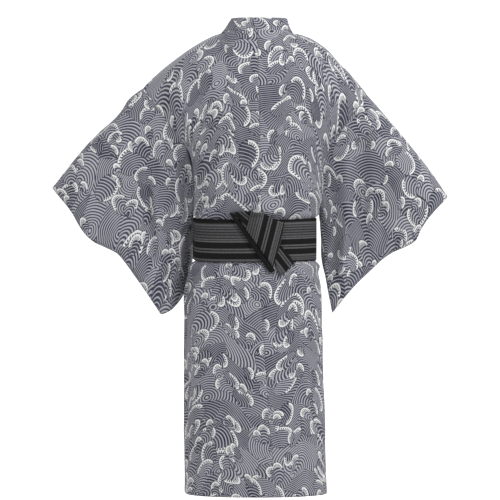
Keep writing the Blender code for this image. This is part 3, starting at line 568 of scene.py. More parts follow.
def front_grid(side):
    """Rows of points from the shoulder to the hem, each from the side seam to the inner edge."""
    edges, _ = front_edges(side)
    shares = [(1.0, edge) for edge in edges]
    return sheet_grid(side, "in_front", 0, shares, ("side", "overlap"), even_columns(SHOULDER_STEPS))


def overlap_grid(side):
    """Rows of points from the overlap panel's tip to the hem, from its seam to its edge."""
    first = tip_row() - 1
    shares = list(zip(*front_edges(side)))[first:]
    return sheet_grid(side, "in_front", first, shares, ("overlap", "edge"), even_columns(OVERLAP_STEPS))


def collar_rows(side):
    """The collar's places from the centre back to its end, as (kind, row, where its seam lies)."""
    _, lines = front_edges(side)
    rows = [("neck", i, NECK_SHARE * i / NECK_STEPS) for i in range(NECK_STEPS + 1)]
    rows += [("upper", i, lines[i]) for i in range(1, len(UPPER_ROWS) - 1)]
    last = TUBE_DROPS.index(COLLAR_END_DROP)
    return rows + [("tube", i, read(SEAMS, "drop", "edge", TUBE_DROPS[i])) for i in range(last + 1)]


def collar_point(side, place, across):
    """A point of the collar at a share of its width from its seam."""
    kind, row, where = place
    reach = COLLAR_WIDTH * COLLAR_SLANT * across
    if kind == "tube":
        return tube_point(side, where + reach / WAIST_ARC, TUBE_DROPS[row])
    if kind == "neck":
        seam = upper_point(side, "behind", where, 0.0)
        top = mirrored(np.array([COLLAR_TOP[side][key][row] for key in "xyz"]), side)
        return mix(seam, top, across)
    seam = upper_point(side, "in_front", where, UPPER_ROWS[row])
    flat = upper_point(side, "in_front", where - reach / FRONT_ARC, UPPER_ROWS[row])
    stand = np.array([COLLAR_TOP[side][key][-1] - SHOULDER[side][key][0] for key in "xyz"])
    return mix(seam + mirrored(stand, side) * across, flat, smooth(row / COLLAR_LYING_ROW))


def collar_grid():
    """Rows across the collar, from its left end round the neck to its right end."""
    halves = {}
    for side in SIDES:
        halves[side] = [[collar_point(side, place, j / COLLAR_STEPS) for j in range(COLLAR_STEPS + 1)]
                        for place in collar_rows(side)]
    return halves["left"][::-1] + halves["right"][1:]


def sleeve_shares():
    """Each row's share of the sleeve's depth, and its share of the armhole where it lies on it."""
    rows = [(down * SLEEVE_ARMHOLE_SHARE, down) for down in UPPER_ROWS]
    return rows + [(share, None) for share in SLEEVE_LOW_ROWS]


def sleeve_seam(side, share, down):
    """The sleeve's inner edge: its middle, and half the distance between its two layers."""
    if down is not None:
        behind = armhole_point(side, "behind", down)
        in_front = armhole_point(side, "in_front", down)
        apart = UNDERARM_GAP * SIDES[side] if down == 1.0 else 0.0
        return (behind + in_front) / 2 + np.array([apart, 0.0, 0.0]), (in_front[1] - behind[1]) / 2
    start = armhole_point(side, "behind", 1.0)
    end = on_line(LOWER_EDGE, side, 0.0)
    t = (share - SLEEVE_ARMHOLE_SHARE) / (1 - SLEEVE_ARMHOLE_SHARE)
    bow = 4 * t * (1 - t) * LOW_SEAM_BOW[side] * SIDES[side]
    return mix(start, end, t) + np.array([bow, 0.0, 0.0]), 0.0


def sleeve_point(side, across, row):
    """The middle of the sleeve at a share from seam to cuff, and half the distance between layers."""
    share, down = row
    seam, seam_half = sleeve_seam(side, share, down)
    cuff = on_line(CUFF_LINE, side, share)
    top, low = (on_line(lines, side, across) for lines in (ARM_LINE, LOWER_EDGE))
    corners = [[on_line(lines, side, end) for end in (0.0, 1.0)] for lines in (ARM_LINE, LOWER_EDGE)]
    point = filled(top, low, seam, cuff, corners, across, share)
    turn = rounded(share / SLEEVE_TOP_TURN)
    closing = rounded((1 - share) / SLEEVE_LOW_TURN)
    inside = read(SLEEVE_HOLLOW, "down", "half_depth", share) * turn * closing
    open_cuff = 1 - smooth((share / CUFF_OPENING_SHARE - CUFF_CLOSES_FROM) / (1 - CUFF_CLOSES_FROM))
    cuff_half = CUFF_HOLLOW * turn * open_cuff if share < CUFF_OPENING_SHARE else 0.0
    half = mix(seam_half, inside, rounded(across / SLEEVE_SEAM_TURN))
    half = mix(cuff_half, half, rounded((1 - across) / SLEEVE_CUFF_TURN))
    fold = fold_out(SLEEVE_FOLDS[side], point[0], -point[2])
    from_seam, from_low, from_top = SLEEVE_FOLD_FADE
    point[1] -= fold * smooth(across / from_seam) * smooth((1 - share) / from_low) * smooth(share / from_top)
    return point, half


def sleeve_grids(side):
    """Rows of points of the sleeve's back layer and of its front layer."""
    behind, in_front = [], []
    for row in sleeve_shares():
        cells = [sleeve_point(side, across, row) for across in SLEEVE_COLUMNS]
        behind.append([point - np.array([0.0, half, 0.0]) for point, half in cells])
        in_front.append([point + np.array([0.0, half, 0.0]) for point, half in cells])
    return behind, in_front


def sash_radius(angle, lift):
    """The sash follows the waist, and stands off more where the front's layers lie under it."""
    rises = [smooth((SIDES[side] * turned(angle) - start) / span)
             for side, (start, span) in SASH_LIFTS_FROM.items()]
    return lift + SASH_OVER_OVERLAP * max(rises)


def knot_place(outline, across, down):
    """A place inside the four edges of a knot piece, as x and drop."""
    def edge(name, share):
        places = np.stack([outline[name]["x"], outline[name]["drop"]], axis=1)
        knots = shares_along(places)
        return np.array([np.interp(share, knots, column) for column in places.T])

    corners = [[edge(name, end) for end in (0, 1)] for name in ("top", "low")]
    sides = (edge("top", across), edge("low", across), edge("left", down), edge("right", down))
    return filled(*sides, corners, across, down)


def sash_face(x, drop, lift):
    """The point that lies off the sash's outer side, or off the cloth below it."""
    outside = SASH_TURNS["lift"][-1] + SASH_WALL
    cloth = read(FIGURE, "drop", "behind", drop) + KNOT_OFF_CLOTH
    depth = max(read(FIGURE, "drop", "behind", SASH_MIDDLE) + outside, cloth)
    half_width = read(FIGURE, "drop", "half_width", SASH_MIDDLE) + outside + lift
    centre = read(FIGURE, "drop", "centre", SASH_MIDDLE)
    behind = (1 - (abs(x - centre) / half_width) ** SECTION_ROUNDNESS) ** (1 / SECTION_ROUNDNESS)
    return np.array([x, -(depth + lift) * behind, -drop])


# Fine steps of the cloth that shows, its thickness, how deep a seam lies, the length that the rows
# above the waist stand for, and the distances at which points join and edges go
FINE_STEP = 0.0055
SHELL = 0.0009
SASH_SHELL = 0.0021
COLLAR_SHELL = 0.0028
SEAM_DIP = 0.0009
SEAM_HALF_WIDTH = 0.004
UPPER_LENGTH = 0.5
SAME_POINT = 0.00002
NO_LENGTH = 0.00001

# The folded hems: how deep they are, how far they stand off, and the shares of their depth at which
# the fold's step begins and that it takes. The stitches: how far apart they are, their length, the
# thread's radius and sides, how far they stand off, how much their length differs (by the node's input
# numbers), and their rows' fine steps from the edge.
HEM_DEPTH = 0.014
HEM_THICK = 0.0007
HEM_STEP = (0.8, 0.4)
STITCHES = {"Spacing": 0.011, "Stitch length": 0.0026, "Thread radius": 0.00032}
STITCH_LIFT = 0.0001
THREAD_SIDES = 8
UNEVEN = {2: 0.75, 3: 1.2}
HEM_STITCH_ROWS = 3
EDGE_STITCH_COLUMNS = 2
COLLAR_STITCH_COLUMNS = 1

# The print: navy on pale cotton with white crests. Each layer is a field of rounds: how many there are
# to a metre, how far they reach, the pitch and weight of their lines, how they are stretched and
# turned, where the field starts, and the share of them that is drawn. A crest has a rim and is cut
# into teeth above a value of their wave, from a value of the wave along its edge. BROAD_BEND and
# CLOSE_BEND are how close the bends of the lines are and how far they go.
PAPER = (0.57, 0.57, 0.63)
WHITE = (1.0, 1.0, 1.0)
NAVY = (0.033, 0.035, 0.066)
TOOTH = 0.0088
CREST = 0.0100
CREST_RIM = 0.0040
OUTLINE = 0.0014
LINE_SOFTNESS = 0.07
RIM_FROM = 0.10
TOOTH_CUT = -0.1
CELL_RANDOMNESS = 0.9
BROAD_BEND = (5.0, 0.022)
CLOSE_BEND = (17.0, 0.0028)
RINGS = [
    {"cells": 13.0, "reach": 0.200, "pitch": 0.0066, "weight": 0.56, "stretch": (0.88, 1.16), "turn": 0.2,
     "shift": (9.2, 1.6), "share": 1.1},
    {"cells": 8.6, "reach": 0.048, "pitch": 0.0068, "weight": 0.60, "stretch": (0.86, 1.24), "turn": 0.5,
     "shift": (0.31, 0.74), "share": 0.64},
    {"cells": 10.6, "reach": 0.038, "pitch": 0.0066, "weight": 0.64, "stretch": (1.22, 0.86), "turn": -0.4,
     "shift": (2.17, 1.38), "share": 0.60},
    {"cells": 13.5, "reach": 0.030, "pitch": 0.0064, "weight": 0.56, "stretch": (0.88, 1.18), "turn": 1.1,
     "shift": (4.41, 3.09), "share": 0.56},
    {"cells": 18.0, "reach": 0.021, "pitch": 0.0062, "weight": 0.60, "stretch": (1.16, 0.88), "turn": 0.8,
     "shift": (7.13, 5.57), "share": 0.44},
]

# How each round differs by chance: what chance adds at most, and what is there without it
CHANCES = {"reach": (0.5, 0.62), "lean": (2.2, -1.1), "low": (0.9, 0.35), "pitch": (0.28, 0.90),
           "rim": (1.4 * math.pi, 0.3 * math.pi)}
WEIGHT_CHANCE = (0.30, -0.12)
LARGEST_IN_CELL = 0.6
TEETH_SHARE = 0.85

# Where the print starts on each piece
PRINT_STARTS = {
    "back_left": (0.31, 0.10), "back_right": (0.05, 0.32), "front_left": (0.70, 0.66),
    "front_right": (0.47, 0.21), "overlap_left": (1.10, 0.42), "overlap_right": (1.36, 0.93),
    "sleeve_left": (1.9, 0.83), "sleeve_right": (2.6, 0.38), "collar": (3.4, 0.2),
}

# The looks of the cloths, the thread and the floor. The wear of the print and the sash's flecks are
# given by how fine they are and their range, and the weaves by the radians of their waves to a metre.
COTTON_LOOK = {"Roughness": 0.86, "Sheen Weight": 0.12, "Sheen Roughness": 0.6, "Specular IOR Level": 0.25}
SASH_LOOK = {"Roughness": 0.9, "Specular IOR Level": 0.12}
THREAD_LOOK = {"Base Color": (0.10, 0.10, 0.16, 1.0), "Roughness": 0.7}
FLOOR_LOOK = {"Base Color": (0.93, 0.93, 0.93, 1.0), "Emission Color": (1.0, 1.0, 1.0, 1.0),
              "Emission Strength": 0.75, "Roughness": 0.9}
WEAR_SCALE = 24.0
WEAR = (0.30, 0.80)
COTTON_WEAVE = (6800.0, 6100.0)
COTTON_BUMP = 0.12
FLECK_SCALE = (260.0, 95.0)
FLECK_RANGE = {1: 0.3, 2: 0.7, 3: 0.55, 4: 1.45}
SASH_RIBS = 4200.0
SASH_BUMP = 0.25
THREAD_DEPTH = 0.0004
SASH_BLUE = 1.04

# Where the way that a grid's faces look is read: a sleeve's row, the collar's place, the sash's column
SLEEVE_READ_ROW = -10
COLLAR_READ_AT = (4, 2)
SASH_READ_COLUMN = 10

# Stripes across the sash from its lower edge to its upper one: where each begins, and how light it
# is. Their tones are a little blue.
STRIPES = [
    (0.000, 0.010), (0.028, 0.110), (0.058, 0.050), (0.078, 0.105), (0.104, 0.052), (0.126, 0.120),
    (0.168, 0.010), (0.303, 0.125), (0.337, 0.022), (0.364, 0.120), (0.402, 0.010), (0.532, 0.150),
    (0.560, 0.045), (0.582, 0.125), (0.612, 0.038), (0.640, 0.110), (0.672, 0.035), (0.700, 0.095),
    (0.735, 0.036), (0.765, 0.105), (0.798, 0.040), (0.826, 0.120), (0.855, 0.045), (0.880, 0.140),
    (0.915, 0.070), (0.938, 0.009),
]
# How far the stripes lie lower on the left, so that the sash's lower grey bands don't show there: partly its
# lower edge rolled under, partly painted shade along that edge
ROLLED_EDGE_AND_SHADE_SHIFT = 0.11
# How much lower each turn's lower edge hangs than the solids' edge, and how much more to the right
SASH_DEEPER = (0.0, 0.009)
DEEPER_TO_RIGHT = 0.22

# The knot: its fine steps, how far each piece's edges turn down and over what share of it, the line
# that its stripes follow, and the share of the band at that line
KNOT_FINE = 28
BAND_WIDTH = 0.1155
BAND_SHARES = (0.002, 0.998)
KNOT_EDGES = {"knot_wing": (0.0030, 0.05), "knot_top": (0.0030, 0.10), "knot_roll": (0.0, 0.1),
              "knot_tail": (0.0030, 0.09)}
KNOT_STRIPES = {
    "knot_wing": (0.0749, 0.5439, 0.0442, 0.6636, 0.01),
    "knot_top": (-0.0730, 0.5219, -0.0298, 0.5581, 0.12),
    "knot_roll": (-0.0656, 0.5140, 0.0514, 0.6755, 0.14),
    "knot_tail": (0.0484, 0.6550, 0.0790, 0.6945, 0.08),
}
ROLL_SHARES = (0.175, 0.26)

# The roll: how far its edges stand off, how much of its thickness is left out, and how high the fold
# along it is. Next, what makes a crown 1 at its middle.
ROLL_BASE = 0.0026
ROLL_SHORT = 0.0024
ROLL_FOLD = 0.0009
CROWN_PEAK = 16

# The creases that the large folds don't hold: each runs between two places, given as drops and
# distances from the middle, with its half width and how far it stands out.
BACK_CREASES = table(
    "x0     drop0  x1     drop1  width  out",
    [
        (-0.060, 0.030, -0.130, 0.115, 0.016, 0.0022),
        (-0.095, 0.050, -0.175, 0.160, 0.013, -0.0018),
        (0.070, 0.030, 0.125, 0.110, 0.014, 0.0020),
        (0.110, 0.060, 0.190, 0.170, 0.013, -0.0016),
        (-0.180, 0.205, -0.120, 0.330, 0.012, 0.0026),
        (-0.215, 0.240, -0.170, 0.400, 0.010, -0.0030),
        (-0.150, 0.330, -0.128, 0.470, 0.009, 0.0026),
        (-0.122, 0.400, -0.060, 0.500, 0.010, -0.0022),
        (0.190, 0.220, 0.135, 0.350, 0.012, 0.0024),
        (0.210, 0.260, 0.172, 0.420, 0.009, -0.0030),
        (0.150, 0.350, 0.120, 0.480, 0.010, 0.0026),
        (0.105, 0.380, 0.060, 0.500, 0.009, -0.0020),
        (-0.020, 0.420, -0.045, 0.510, 0.010, 0.0022),
        (0.030, 0.410, 0.045, 0.505, 0.011, -0.0018),
        (-0.100, 0.455, -0.150, 0.512, 0.008, 0.0030),
        (0.095, 0.462, 0.148, 0.512, 0.008, 0.0028),
        (-0.010, 0.120, 0.015, 0.360, 0.020, 0.0012),
        (-0.060, 0.190, -0.050, 0.370, 0.017, -0.0012),
        (0.075, 0.180, 0.062, 0.390, 0.018, -0.0012),
    ],
)
SKIRT_CREASES = table(
    "angle  top    bottom  width  out  lean",
    [
        (-82, 0.67, 1.30, 3.4, -0.0040, 3.0),
        (-70, 0.70, 1.00, 2.6, 0.0026, -2.0),
        (-61, 0.68, 1.18, 4.0, -0.0030, 1.0),
        (-47, 0.66, 0.92, 3.0, 0.0022, -3.0),
        (-36, 0.72, 1.30, 5.0, 0.0022, 2.0),
        (-26, 0.66, 0.80, 2.4, -0.0020, 4.0),
        (-10, 0.68, 1.02, 4.0, -0.0016, 0.0),
        (2, 0.70, 1.32, 6.0, 0.0016, 1.0),
        (16, 0.66, 0.84, 3.0, 0.0018, -3.0),
        (33, 0.70, 1.24, 4.4, 0.0020, -1.0),
        (46, 0.67, 0.98, 3.0, -0.0022, -2.0),
        (64, 0.68, 1.30, 3.6, 0.0030, -2.0),
        (74, 0.70, 1.12, 3.0, -0.0032, 1.0),
        (92, 0.68, 1.26, 4.0, 0.0030, 1.0),
        (108, 0.67, 1.05, 3.4, -0.0028, 2.0),
        (122, 0.70, 1.32, 5.0, 0.0026, -1.0),
        (139, 0.67, 0.96, 3.2, -0.0024, 2.0),
        (152, 0.68, 1.28, 5.0, 0.0024, -2.0),
        (171, 0.67, 1.14, 4.0, -0.0022, 1.0),
        (-171, 0.69, 1.30, 5.0, 0.0022, 2.0),
        (-148, 0.67, 1.02, 3.4, -0.0026, -2.0),
        (-122, 0.68, 1.30, 4.0, 0.0028, 1.0),
        (-104, 0.67, 1.16, 3.6, -0.0030, -1.0),
    ],
)
FRONT_CREASES = table(
    "x0     drop0  x1     drop1  width  out",
    [
        (-0.150, 0.120, -0.100, 0.300, 0.014, 0.0026),
        (-0.200, 0.200, -0.150, 0.400, 0.012, -0.0028),
        (-0.130, 0.330, -0.090, 0.490, 0.010, 0.0026),
        (0.160, 0.130, 0.110, 0.320, 0.014, 0.0026),
        (0.210, 0.220, 0.160, 0.420, 0.012, -0.0028),
        (0.140, 0.350, 0.100, 0.500, 0.010, 0.0026),
        (0.050, 0.330, 0.090, 0.480, 0.012, -0.0020),
        (-0.040, 0.360, -0.070, 0.500, 0.012, -0.0018),
    ],
)
# Where the left armhole's seam sinks into a slit behind: its drop, half length and depth
SLIT = (0.360, 0.021, 0.016)
SLIT_LEFT_OF = -0.15
SLIT_HALF_WIDTH = 0.0055
# Creases on the back of the left sleeve that run out to its inner edge
EDGE_CREASES = table("x0     drop0  x1     drop1  width  out",
                     [(-0.187, 0.553, -0.216, 0.577, 0.0042, -0.0075),
                      (-0.192, 0.543, -0.224, 0.568, 0.0060, 0.0040),
                      (-0.190, 0.392, -0.214, 0.418, 0.0050, 0.0042)])
# Where a sleeve's inner edge lies closer to the body: its drop, half width and how far in
TUCKS = {"left": (0.605, 0.055, 0.0065), "right": (0.600, 0.050, 0.0)}
# Where the cloth swells out at the sides, above and below the sash: drop, half width and how far
SWELLS = [(0.524, 0.010, 0.0085), (0.6685, 0.014, 0.0100)]
SLEEVE_CREASES = {
    "left": table("x0     drop0  x1     drop1  width  out",
                  [(-0.322, 0.400, -0.288, 0.690, 0.012, -0.0080),
                   (-0.300, 0.430, -0.262, 0.740, 0.010, 0.0050),
                   (-0.345, 0.330, -0.352, 0.600, 0.013, 0.0040),
                   (-0.270, 0.300, -0.236, 0.520, 0.010, -0.0045),
                   (-0.228, 0.640, -0.216, 0.740, 0.010, 0.0030),
                   (-0.372, 0.300, -0.430, 0.470, 0.014, 0.0030),
                   (-0.430, 0.330, -0.505, 0.500, 0.016, -0.0030),
                   (-0.480, 0.380, -0.530, 0.490, 0.011, 0.0026),
                   (-0.395, 0.450, -0.378, 0.620, 0.012, -0.0030),
                   (-0.345, 0.210, -0.300, 0.350, 0.012, -0.0026)]),
    "right": table("x0     drop0  x1     drop1  width  out",
                   [(0.300, 0.300, 0.282, 0.480, 0.014, -0.0045),
                    (0.282, 0.420, 0.262, 0.690, 0.011, -0.0055),
                    (0.258, 0.470, 0.240, 0.720, 0.009, 0.0040),
                    (0.325, 0.350, 0.322, 0.620, 0.013, 0.0038),
                    (0.228, 0.560, 0.208, 0.700, 0.009, -0.0040),
                    (0.362, 0.330, 0.404, 0.480, 0.013, 0.0030),
                    (0.400, 0.370, 0.458, 0.520, 0.014, -0.0028),
                    (0.440, 0.410, 0.492, 0.500, 0.011, 0.0024),
                    (0.352, 0.470, 0.356, 0.620, 0.012, -0.0028),
                    (0.330, 0.230, 0.290, 0.350, 0.012, -0.0024)]),
}

# Where creases and ripples fade: each begins at the first number and is whole after the second
FADES = {"face": (0.01, 0.03), "towards_waist": (0.465, 0.05), "below_shoulder": (0.02, 0.05),
         "below_sash": (0.655, 0.05), "into_sash": (0.49, 0.03), "out_of_sash": (0.655, 0.03),
         "beside": (0.10, 0.05), "collar": (0.06, 0.08), "sash_right": (0.02, 0.03)}
# The skirt's creases: how far above their tops they begin and over what drop, the same at their ends,
# how their lean counts, and the middle and roundness of the section that their angles go by
SKIRT_CREASE_START = (0.02, 0.07)
SKIRT_CREASE_END = (0.14, 0.18)
SKIRT_CREASE_LEAN = 8
SKIRT_AXIS = -0.010
SKIRT_ROUNDNESS = 1.6
# The heights of the ripples, and how much of the body's creases goes sideways
RIPPLES = (0.00075, 0.00045)
SASH_RIPPLE = 0.0006
SIDEWAYS = 0.35
# The sleeves: how strong their ripples are, which way and how far creases move the layer behind (True)
# and the one in front, and the shares of a layer in which they fade at its top, low, first and last edges
SLEEVE_RIPPLES = 1.3
SLEEVE_LAYERS = {True: -1.0, False: 0.8}
SLEEVE_FADE = (0.07, 0.03, 0.10, 0.05)
SLEEVE_EDGE_FADE = (0.07, 0.03, 0.018, 0.05)
TUCK_REACH = 0.06

# The stage: the pale floor and how it curves up, the light from all round, the lamps with their
# places, sizes and watts, and the camera in millimetres, degrees and metres
FLOOR = {"drop": 1.40, "flat": 7.5, "turn": 2.5, "top": 9.0, "steps": 9, "from_angle": 0.2, "turns": 64}
WORLD_LIGHT = 0.47
LAMPS = [("key", (3.0, -3.8, 2.8), 1.4, 137), ("fill", (-3.2, -3.6, 0.8), 3.0, 14),
         ("front", (0.5, 4.5, 2.4), 3.0, 110)]
LAMPS_AIM = (0.0, 0.0, -0.6)
CAMERA = {"lens": 141.5, "sensor": 36.0, "tilt": 3.5, "distance": 5.6, "target": (-0.020, 0.0, -0.624)}


def curves_through(values, knots, at):
    """Smooth curves through rows of points at the knots, read at many places."""
    slopes = np.gradient(values, knots, axis=0)
    i = np.clip(np.searchsorted(knots, at, side="right") - 1, 0, len(knots) - 2)
    span = (knots[i + 1] - knots[i])[:, None, None]
    return between(i, (at - knots[i])[:, None, None] / span, span, values, slopes)


def places_between(knots, lengths):
    """Places from the first knot to the last, about one fine step of cloth apart, with every knot."""
    found = [knots[0]]
    for first, last, length in zip(knots[:-1], knots[1:], lengths):
        steps = max(1, int(round(length / FINE_STEP)))
        found += [first + (last - first) * (n + 1) / steps for n in range(steps)]
    return np.array(found)


def finer(grid, row_knots=None, column_knots=None):
    """The same surface with a row and a column about every fine step."""
    grid = np.array(grid, float)
    down = np.linalg.norm(np.diff(grid, axis=0), axis=2).max(axis=1)
    across = np.linalg.norm(np.diff(grid, axis=1), axis=2).max(axis=0)
    if row_knots is None:
        row_knots = np.concatenate([[0.0], np.cumsum(np.maximum(down, 1e-4))])
    if column_knots is None:
        column_knots = np.concatenate([[0.0], np.cumsum(np.maximum(across, 1e-4))])
    row_knots = np.array(row_knots, float)
    column_knots = np.array(column_knots, float)
    rows = curves_through(grid, row_knots, places_between(row_knots, down))
    turned_rows = rows.transpose(1, 0, 2)
    columns = curves_through(turned_rows, column_knots, places_between(column_knots, across))
    return columns.transpose(1, 0, 2)


def body_row_knots():
    """One count of rows for every sheet of the body, so that neighbours share their seams."""
    return [UPPER_LENGTH * down for down in UPPER_ROWS] + list(TUBE_DROPS[1:])


def faded(at, name):
    """How far a fade has come at many places."""
    start, length = FADES[name]
    return smooth((at - start) / length)


def skirt_creases(points):
    """How far the creases below the sash move many points outwards."""
    x, y, drop = points[..., 0], points[..., 1], -points[..., 2]
    round_angle = np.degrees(np.arctan2(x - SKIRT_AXIS, -y * SKIRT_ROUNDNESS))
    out = np.zeros_like(x)
    for angle, top, bottom, width, depth, lean in zip(*SKIRT_CREASES.values()):
        apart = turned(round_angle - angle - lean * (drop - top) * SKIRT_CREASE_LEAN)
        ends = smooth((drop - top + SKIRT_CREASE_START[0]) / SKIRT_CREASE_START[1])
        ends *= 1 - smooth((drop - bottom + SKIRT_CREASE_END[0]) / SKIRT_CREASE_END[1])
        out += depth * np.exp(-((apart / width) ** 2)) * ends
    return out


def ripples(points):
    """The slight waviness of worn cotton, from waves that cross."""
    x, y, drop = points[..., 0], points[..., 1], -points[..., 2]
    first = np.sin(31 * x + 17 * drop + 2.0 * np.sin(9 * drop)) * np.sin(23 * drop - 13 * x + 0.7)
    second = np.sin(57 * x - 41 * drop + 1.3 + 3 * y) * np.sin(37 * drop + 29 * x)
    return RIPPLES[0] * first + RIPPLES[1] * second


def body_pushed(points):
    """Body sheets with their creases. Each point goes straight out from the middle of the robe, so
    that sheets which meet or lie on each other stay together."""
    x, y, drop = points[..., 0], points[..., 1], -points[..., 2]
    above_sash = (1 - faded(drop, "towards_waist")) * faded(drop, "below_shoulder")
    out = fold_out(BACK_CREASES, x, drop) * faded(-y, "face") * above_sash
    out += fold_out(FRONT_CREASES, x, drop) * faded(y, "face") * above_sash
    out += skirt_creases(points) * faded(drop, "below_sash")
    out += ripples(points) * (1 - faded(drop, "into_sash") * (1 - faded(drop, "out_of_sash")))
    for middle, half_width, swell in SWELLS:
        out += swell * faded(np.abs(x), "beside") * np.exp(-((drop - middle) / half_width) ** 2)
    ways = np.stack([x * SIDEWAYS, y, np.zeros_like(x)], axis=-1)
    ways /= np.maximum(np.linalg.norm(ways, axis=-1, keepdims=True), 1e-6)
    return points + ways * out[..., None]


def sleeve_pushed(points, side, behind):
    """A sleeve layer with its creases. They fade towards its seams, folds and cuff."""
    x, drop = points[..., 0], -points[..., 2]
    out = fold_out(SLEEVE_CREASES[side], x, drop) + SLEEVE_RIPPLES * ripples(points)
    moved = points.copy()
    moved[..., 1] += SLEEVE_LAYERS[behind] * out * edge_fade(points.shape[:2], SLEEVE_FADE)
    if behind and side == "left":
        moved[..., 1] -= fold_out(EDGE_CREASES, x, drop) * edge_fade(points.shape[:2], SLEEVE_EDGE_FADE)
    middle, half_width, inwards = TUCKS[side]
    apart = np.linalg.norm(points - points[:, :1], axis=-1)
    tuck = inwards * np.exp(-((drop - middle) / half_width) ** 2) * (1 - smooth(apart / TUCK_REACH))
    moved[..., 0] -= SIDES[side] * tuck
    return moved


def edge_fade(shape, shares):
    """1 inside a grid and 0 at its top, low, first and last edges, over these shares of it."""
    down = np.linspace(0, 1, shape[0])[:, None]
    across = np.linspace(0, 1, shape[1])[None, :]
    top, low, first, last = shares
    fade = smooth(down / top) * smooth((1 - down) / low)
    return fade * smooth(across / first) * smooth((1 - across) / last)


def grid_normals(points):
    """The direction across the surface at every point of a grid."""
    down = np.gradient(points, axis=0)
    across = np.gradient(points, axis=1)
    normals = np.cross(across, down)
    return normals / np.maximum(np.linalg.norm(normals, axis=-1, keepdims=True), 1e-9)


def outward_normals(points, row, column, behind=False):
    """The directions out of the robe, and whether the grid's own faces look that way. The place they
    are read at is behind the robe, or else out from its middle."""
    normals = grid_normals(points)
    away = np.array([0.0, -1.0]) if behind else points[row, column][:2]
    outward = float(normals[row, column][:2] @ away) > 0
    return normals if outward else -normals, outward


def seam_dip(points, normals, edges):
    """The sheet with its sewn edges drawn in a little. Edges name the grid's first or last column."""
    moved = points.copy()
    for edge in edges:
        lines = {"first": points[:, :1], "last": points[:, -1:]}[edge]
        apart = np.linalg.norm(points - lines, axis=-1)
        near = np.exp(-((apart / SEAM_HALF_WIDTH) ** 2))
        moved -= normals * (SEAM_DIP * near)[..., None]
        in_slit = np.exp(-(((-points[..., 2] - SLIT[0]) / SLIT[1]) ** 4)) * (points[..., 0] < SLIT_LEFT_OF)
        moved[..., 1] += SLIT[2] * in_slit * (lines[..., 1] < 0.0) * np.exp(-((apart / SLIT_HALF_WIDTH) ** 2))
    return moved


def cloth_lengths(points):
    """How far each point of a grid lies along the cloth from its first column and its first row."""
    across = np.linalg.norm(np.diff(points, axis=1), axis=2)
    down = np.linalg.norm(np.diff(points, axis=0), axis=2)
    along_rows = np.concatenate([np.zeros((points.shape[0], 1)), np.cumsum(across, axis=1)], axis=1)
    along_columns = np.concatenate([np.zeros((1, points.shape[1])), np.cumsum(down, axis=0)], axis=0)
    return along_rows, along_columns


def placed(name, data):
    """A new object in the scene."""
    thing = bpy.data.objects.new(name, data)
    bpy.context.scene.collection.objects.link(thing)
    return thing


def finished(mesh, name):
    """A mesh that is done being edited."""
    data = bpy.data.meshes.new(name)
    mesh.to_mesh(data)
    mesh.free()
    return data


def sheet_mesh(name, points, widths, lengths, outward, material, shell):
    """A thin sheet from a fine grid, with the cloth's own measures as its UV map. Outward says
    whether the grid's faces already look out."""
    start = PRINT_STARTS.get(name, (0.0, 0.0))
    mesh = bmesh.new()
    layer = mesh.loops.layers.uv.new("cloth")
    rows, columns = points.shape[:2]
    corners = [[mesh.verts.new(points[i, j]) for j in range(columns)] for i in range(rows)]
    for i in range(rows - 1):
        for j in range(columns - 1):
            order = [(i, j), (i, j + 1), (i + 1, j + 1), (i + 1, j)]
            order = order if outward else order[::-1]
            face = mesh.faces.new([corners[a][b] for a, b in order])
            face.smooth = True
            for loop, (a, b) in zip(face.loops, order):
                loop[layer].uv = (start[0] + widths[a, b], start[1] + lengths[a, b])
    bmesh.ops.remove_doubles(mesh, verts=mesh.verts[:], dist=SAME_POINT)
    bmesh.ops.dissolve_degenerate(mesh, edges=mesh.edges[:], dist=NO_LENGTH)
    piece = placed(name + "_cloth", finished(mesh, name + "_cloth"))
    piece.data.materials.append(material)
    wall = piece.modifiers.new("cloth thickness", "SOLIDIFY")
    wall.thickness = shell
    wall.offset = -1.0
    return piece


def feed(tree, value, socket):
    """Links a socket, or sets a plain value."""
    if isinstance(value, bpy.types.NodeSocket):
        tree.links.new(value, socket)
    else:
        socket.default_value = value


def bench(tree, kind, places=None, **settings):
    """A node with its settings and inputs."""
    node = tree.nodes.new(kind)
    for key, value in settings.items():
        setattr(node, key, value)
    for place, value in (places or {}).items():
        feed(tree, value, node.inputs[place])
    return node


def sums(tree, operation, *values):
    """One step of arithmetic."""
    return bench(tree, "ShaderNodeMath", dict(enumerate(values)), operation=operation).outputs[0]


def ways(tree, operation, *values):
    """One step on places. A length comes back as a number."""
    node = bench(tree, "ShaderNodeVectorMath", dict(enumerate(values)), operation=operation)
    return node.outputs["Value" if operation == "LENGTH" else "Vector"]


def blend(tree, share, first, second):
    """A number between two, by a share."""
    node = bench(tree, "ShaderNodeMix", data_type="FLOAT")
    for place, value in ((0, share), (2, first), (3, second)):
        feed(tree, value, node.inputs[place])
    return node.outputs[0]


def drawn_lines(tree, phase, weight):
    """Ink where the phase is inside the line, with a soft edge."""
    wave = sums(tree, "PINGPONG", phase, 0.5)
    apart = sums(tree, "SUBTRACT", sums(tree, "MULTIPLY", weight, 0.5), wave)
    ends = {0: apart, 1: -LINE_SOFTNESS, 2: LINE_SOFTNESS, 3: 0.0, 4: 1.0}
    return bench(tree, "ShaderNodeMapRange", ends).outputs[0]


def cloth_places(tree):
    """The UV map in metres of cloth."""
    return bench(tree, "ShaderNodeUVMap", uv_map="cloth").outputs["UV"]


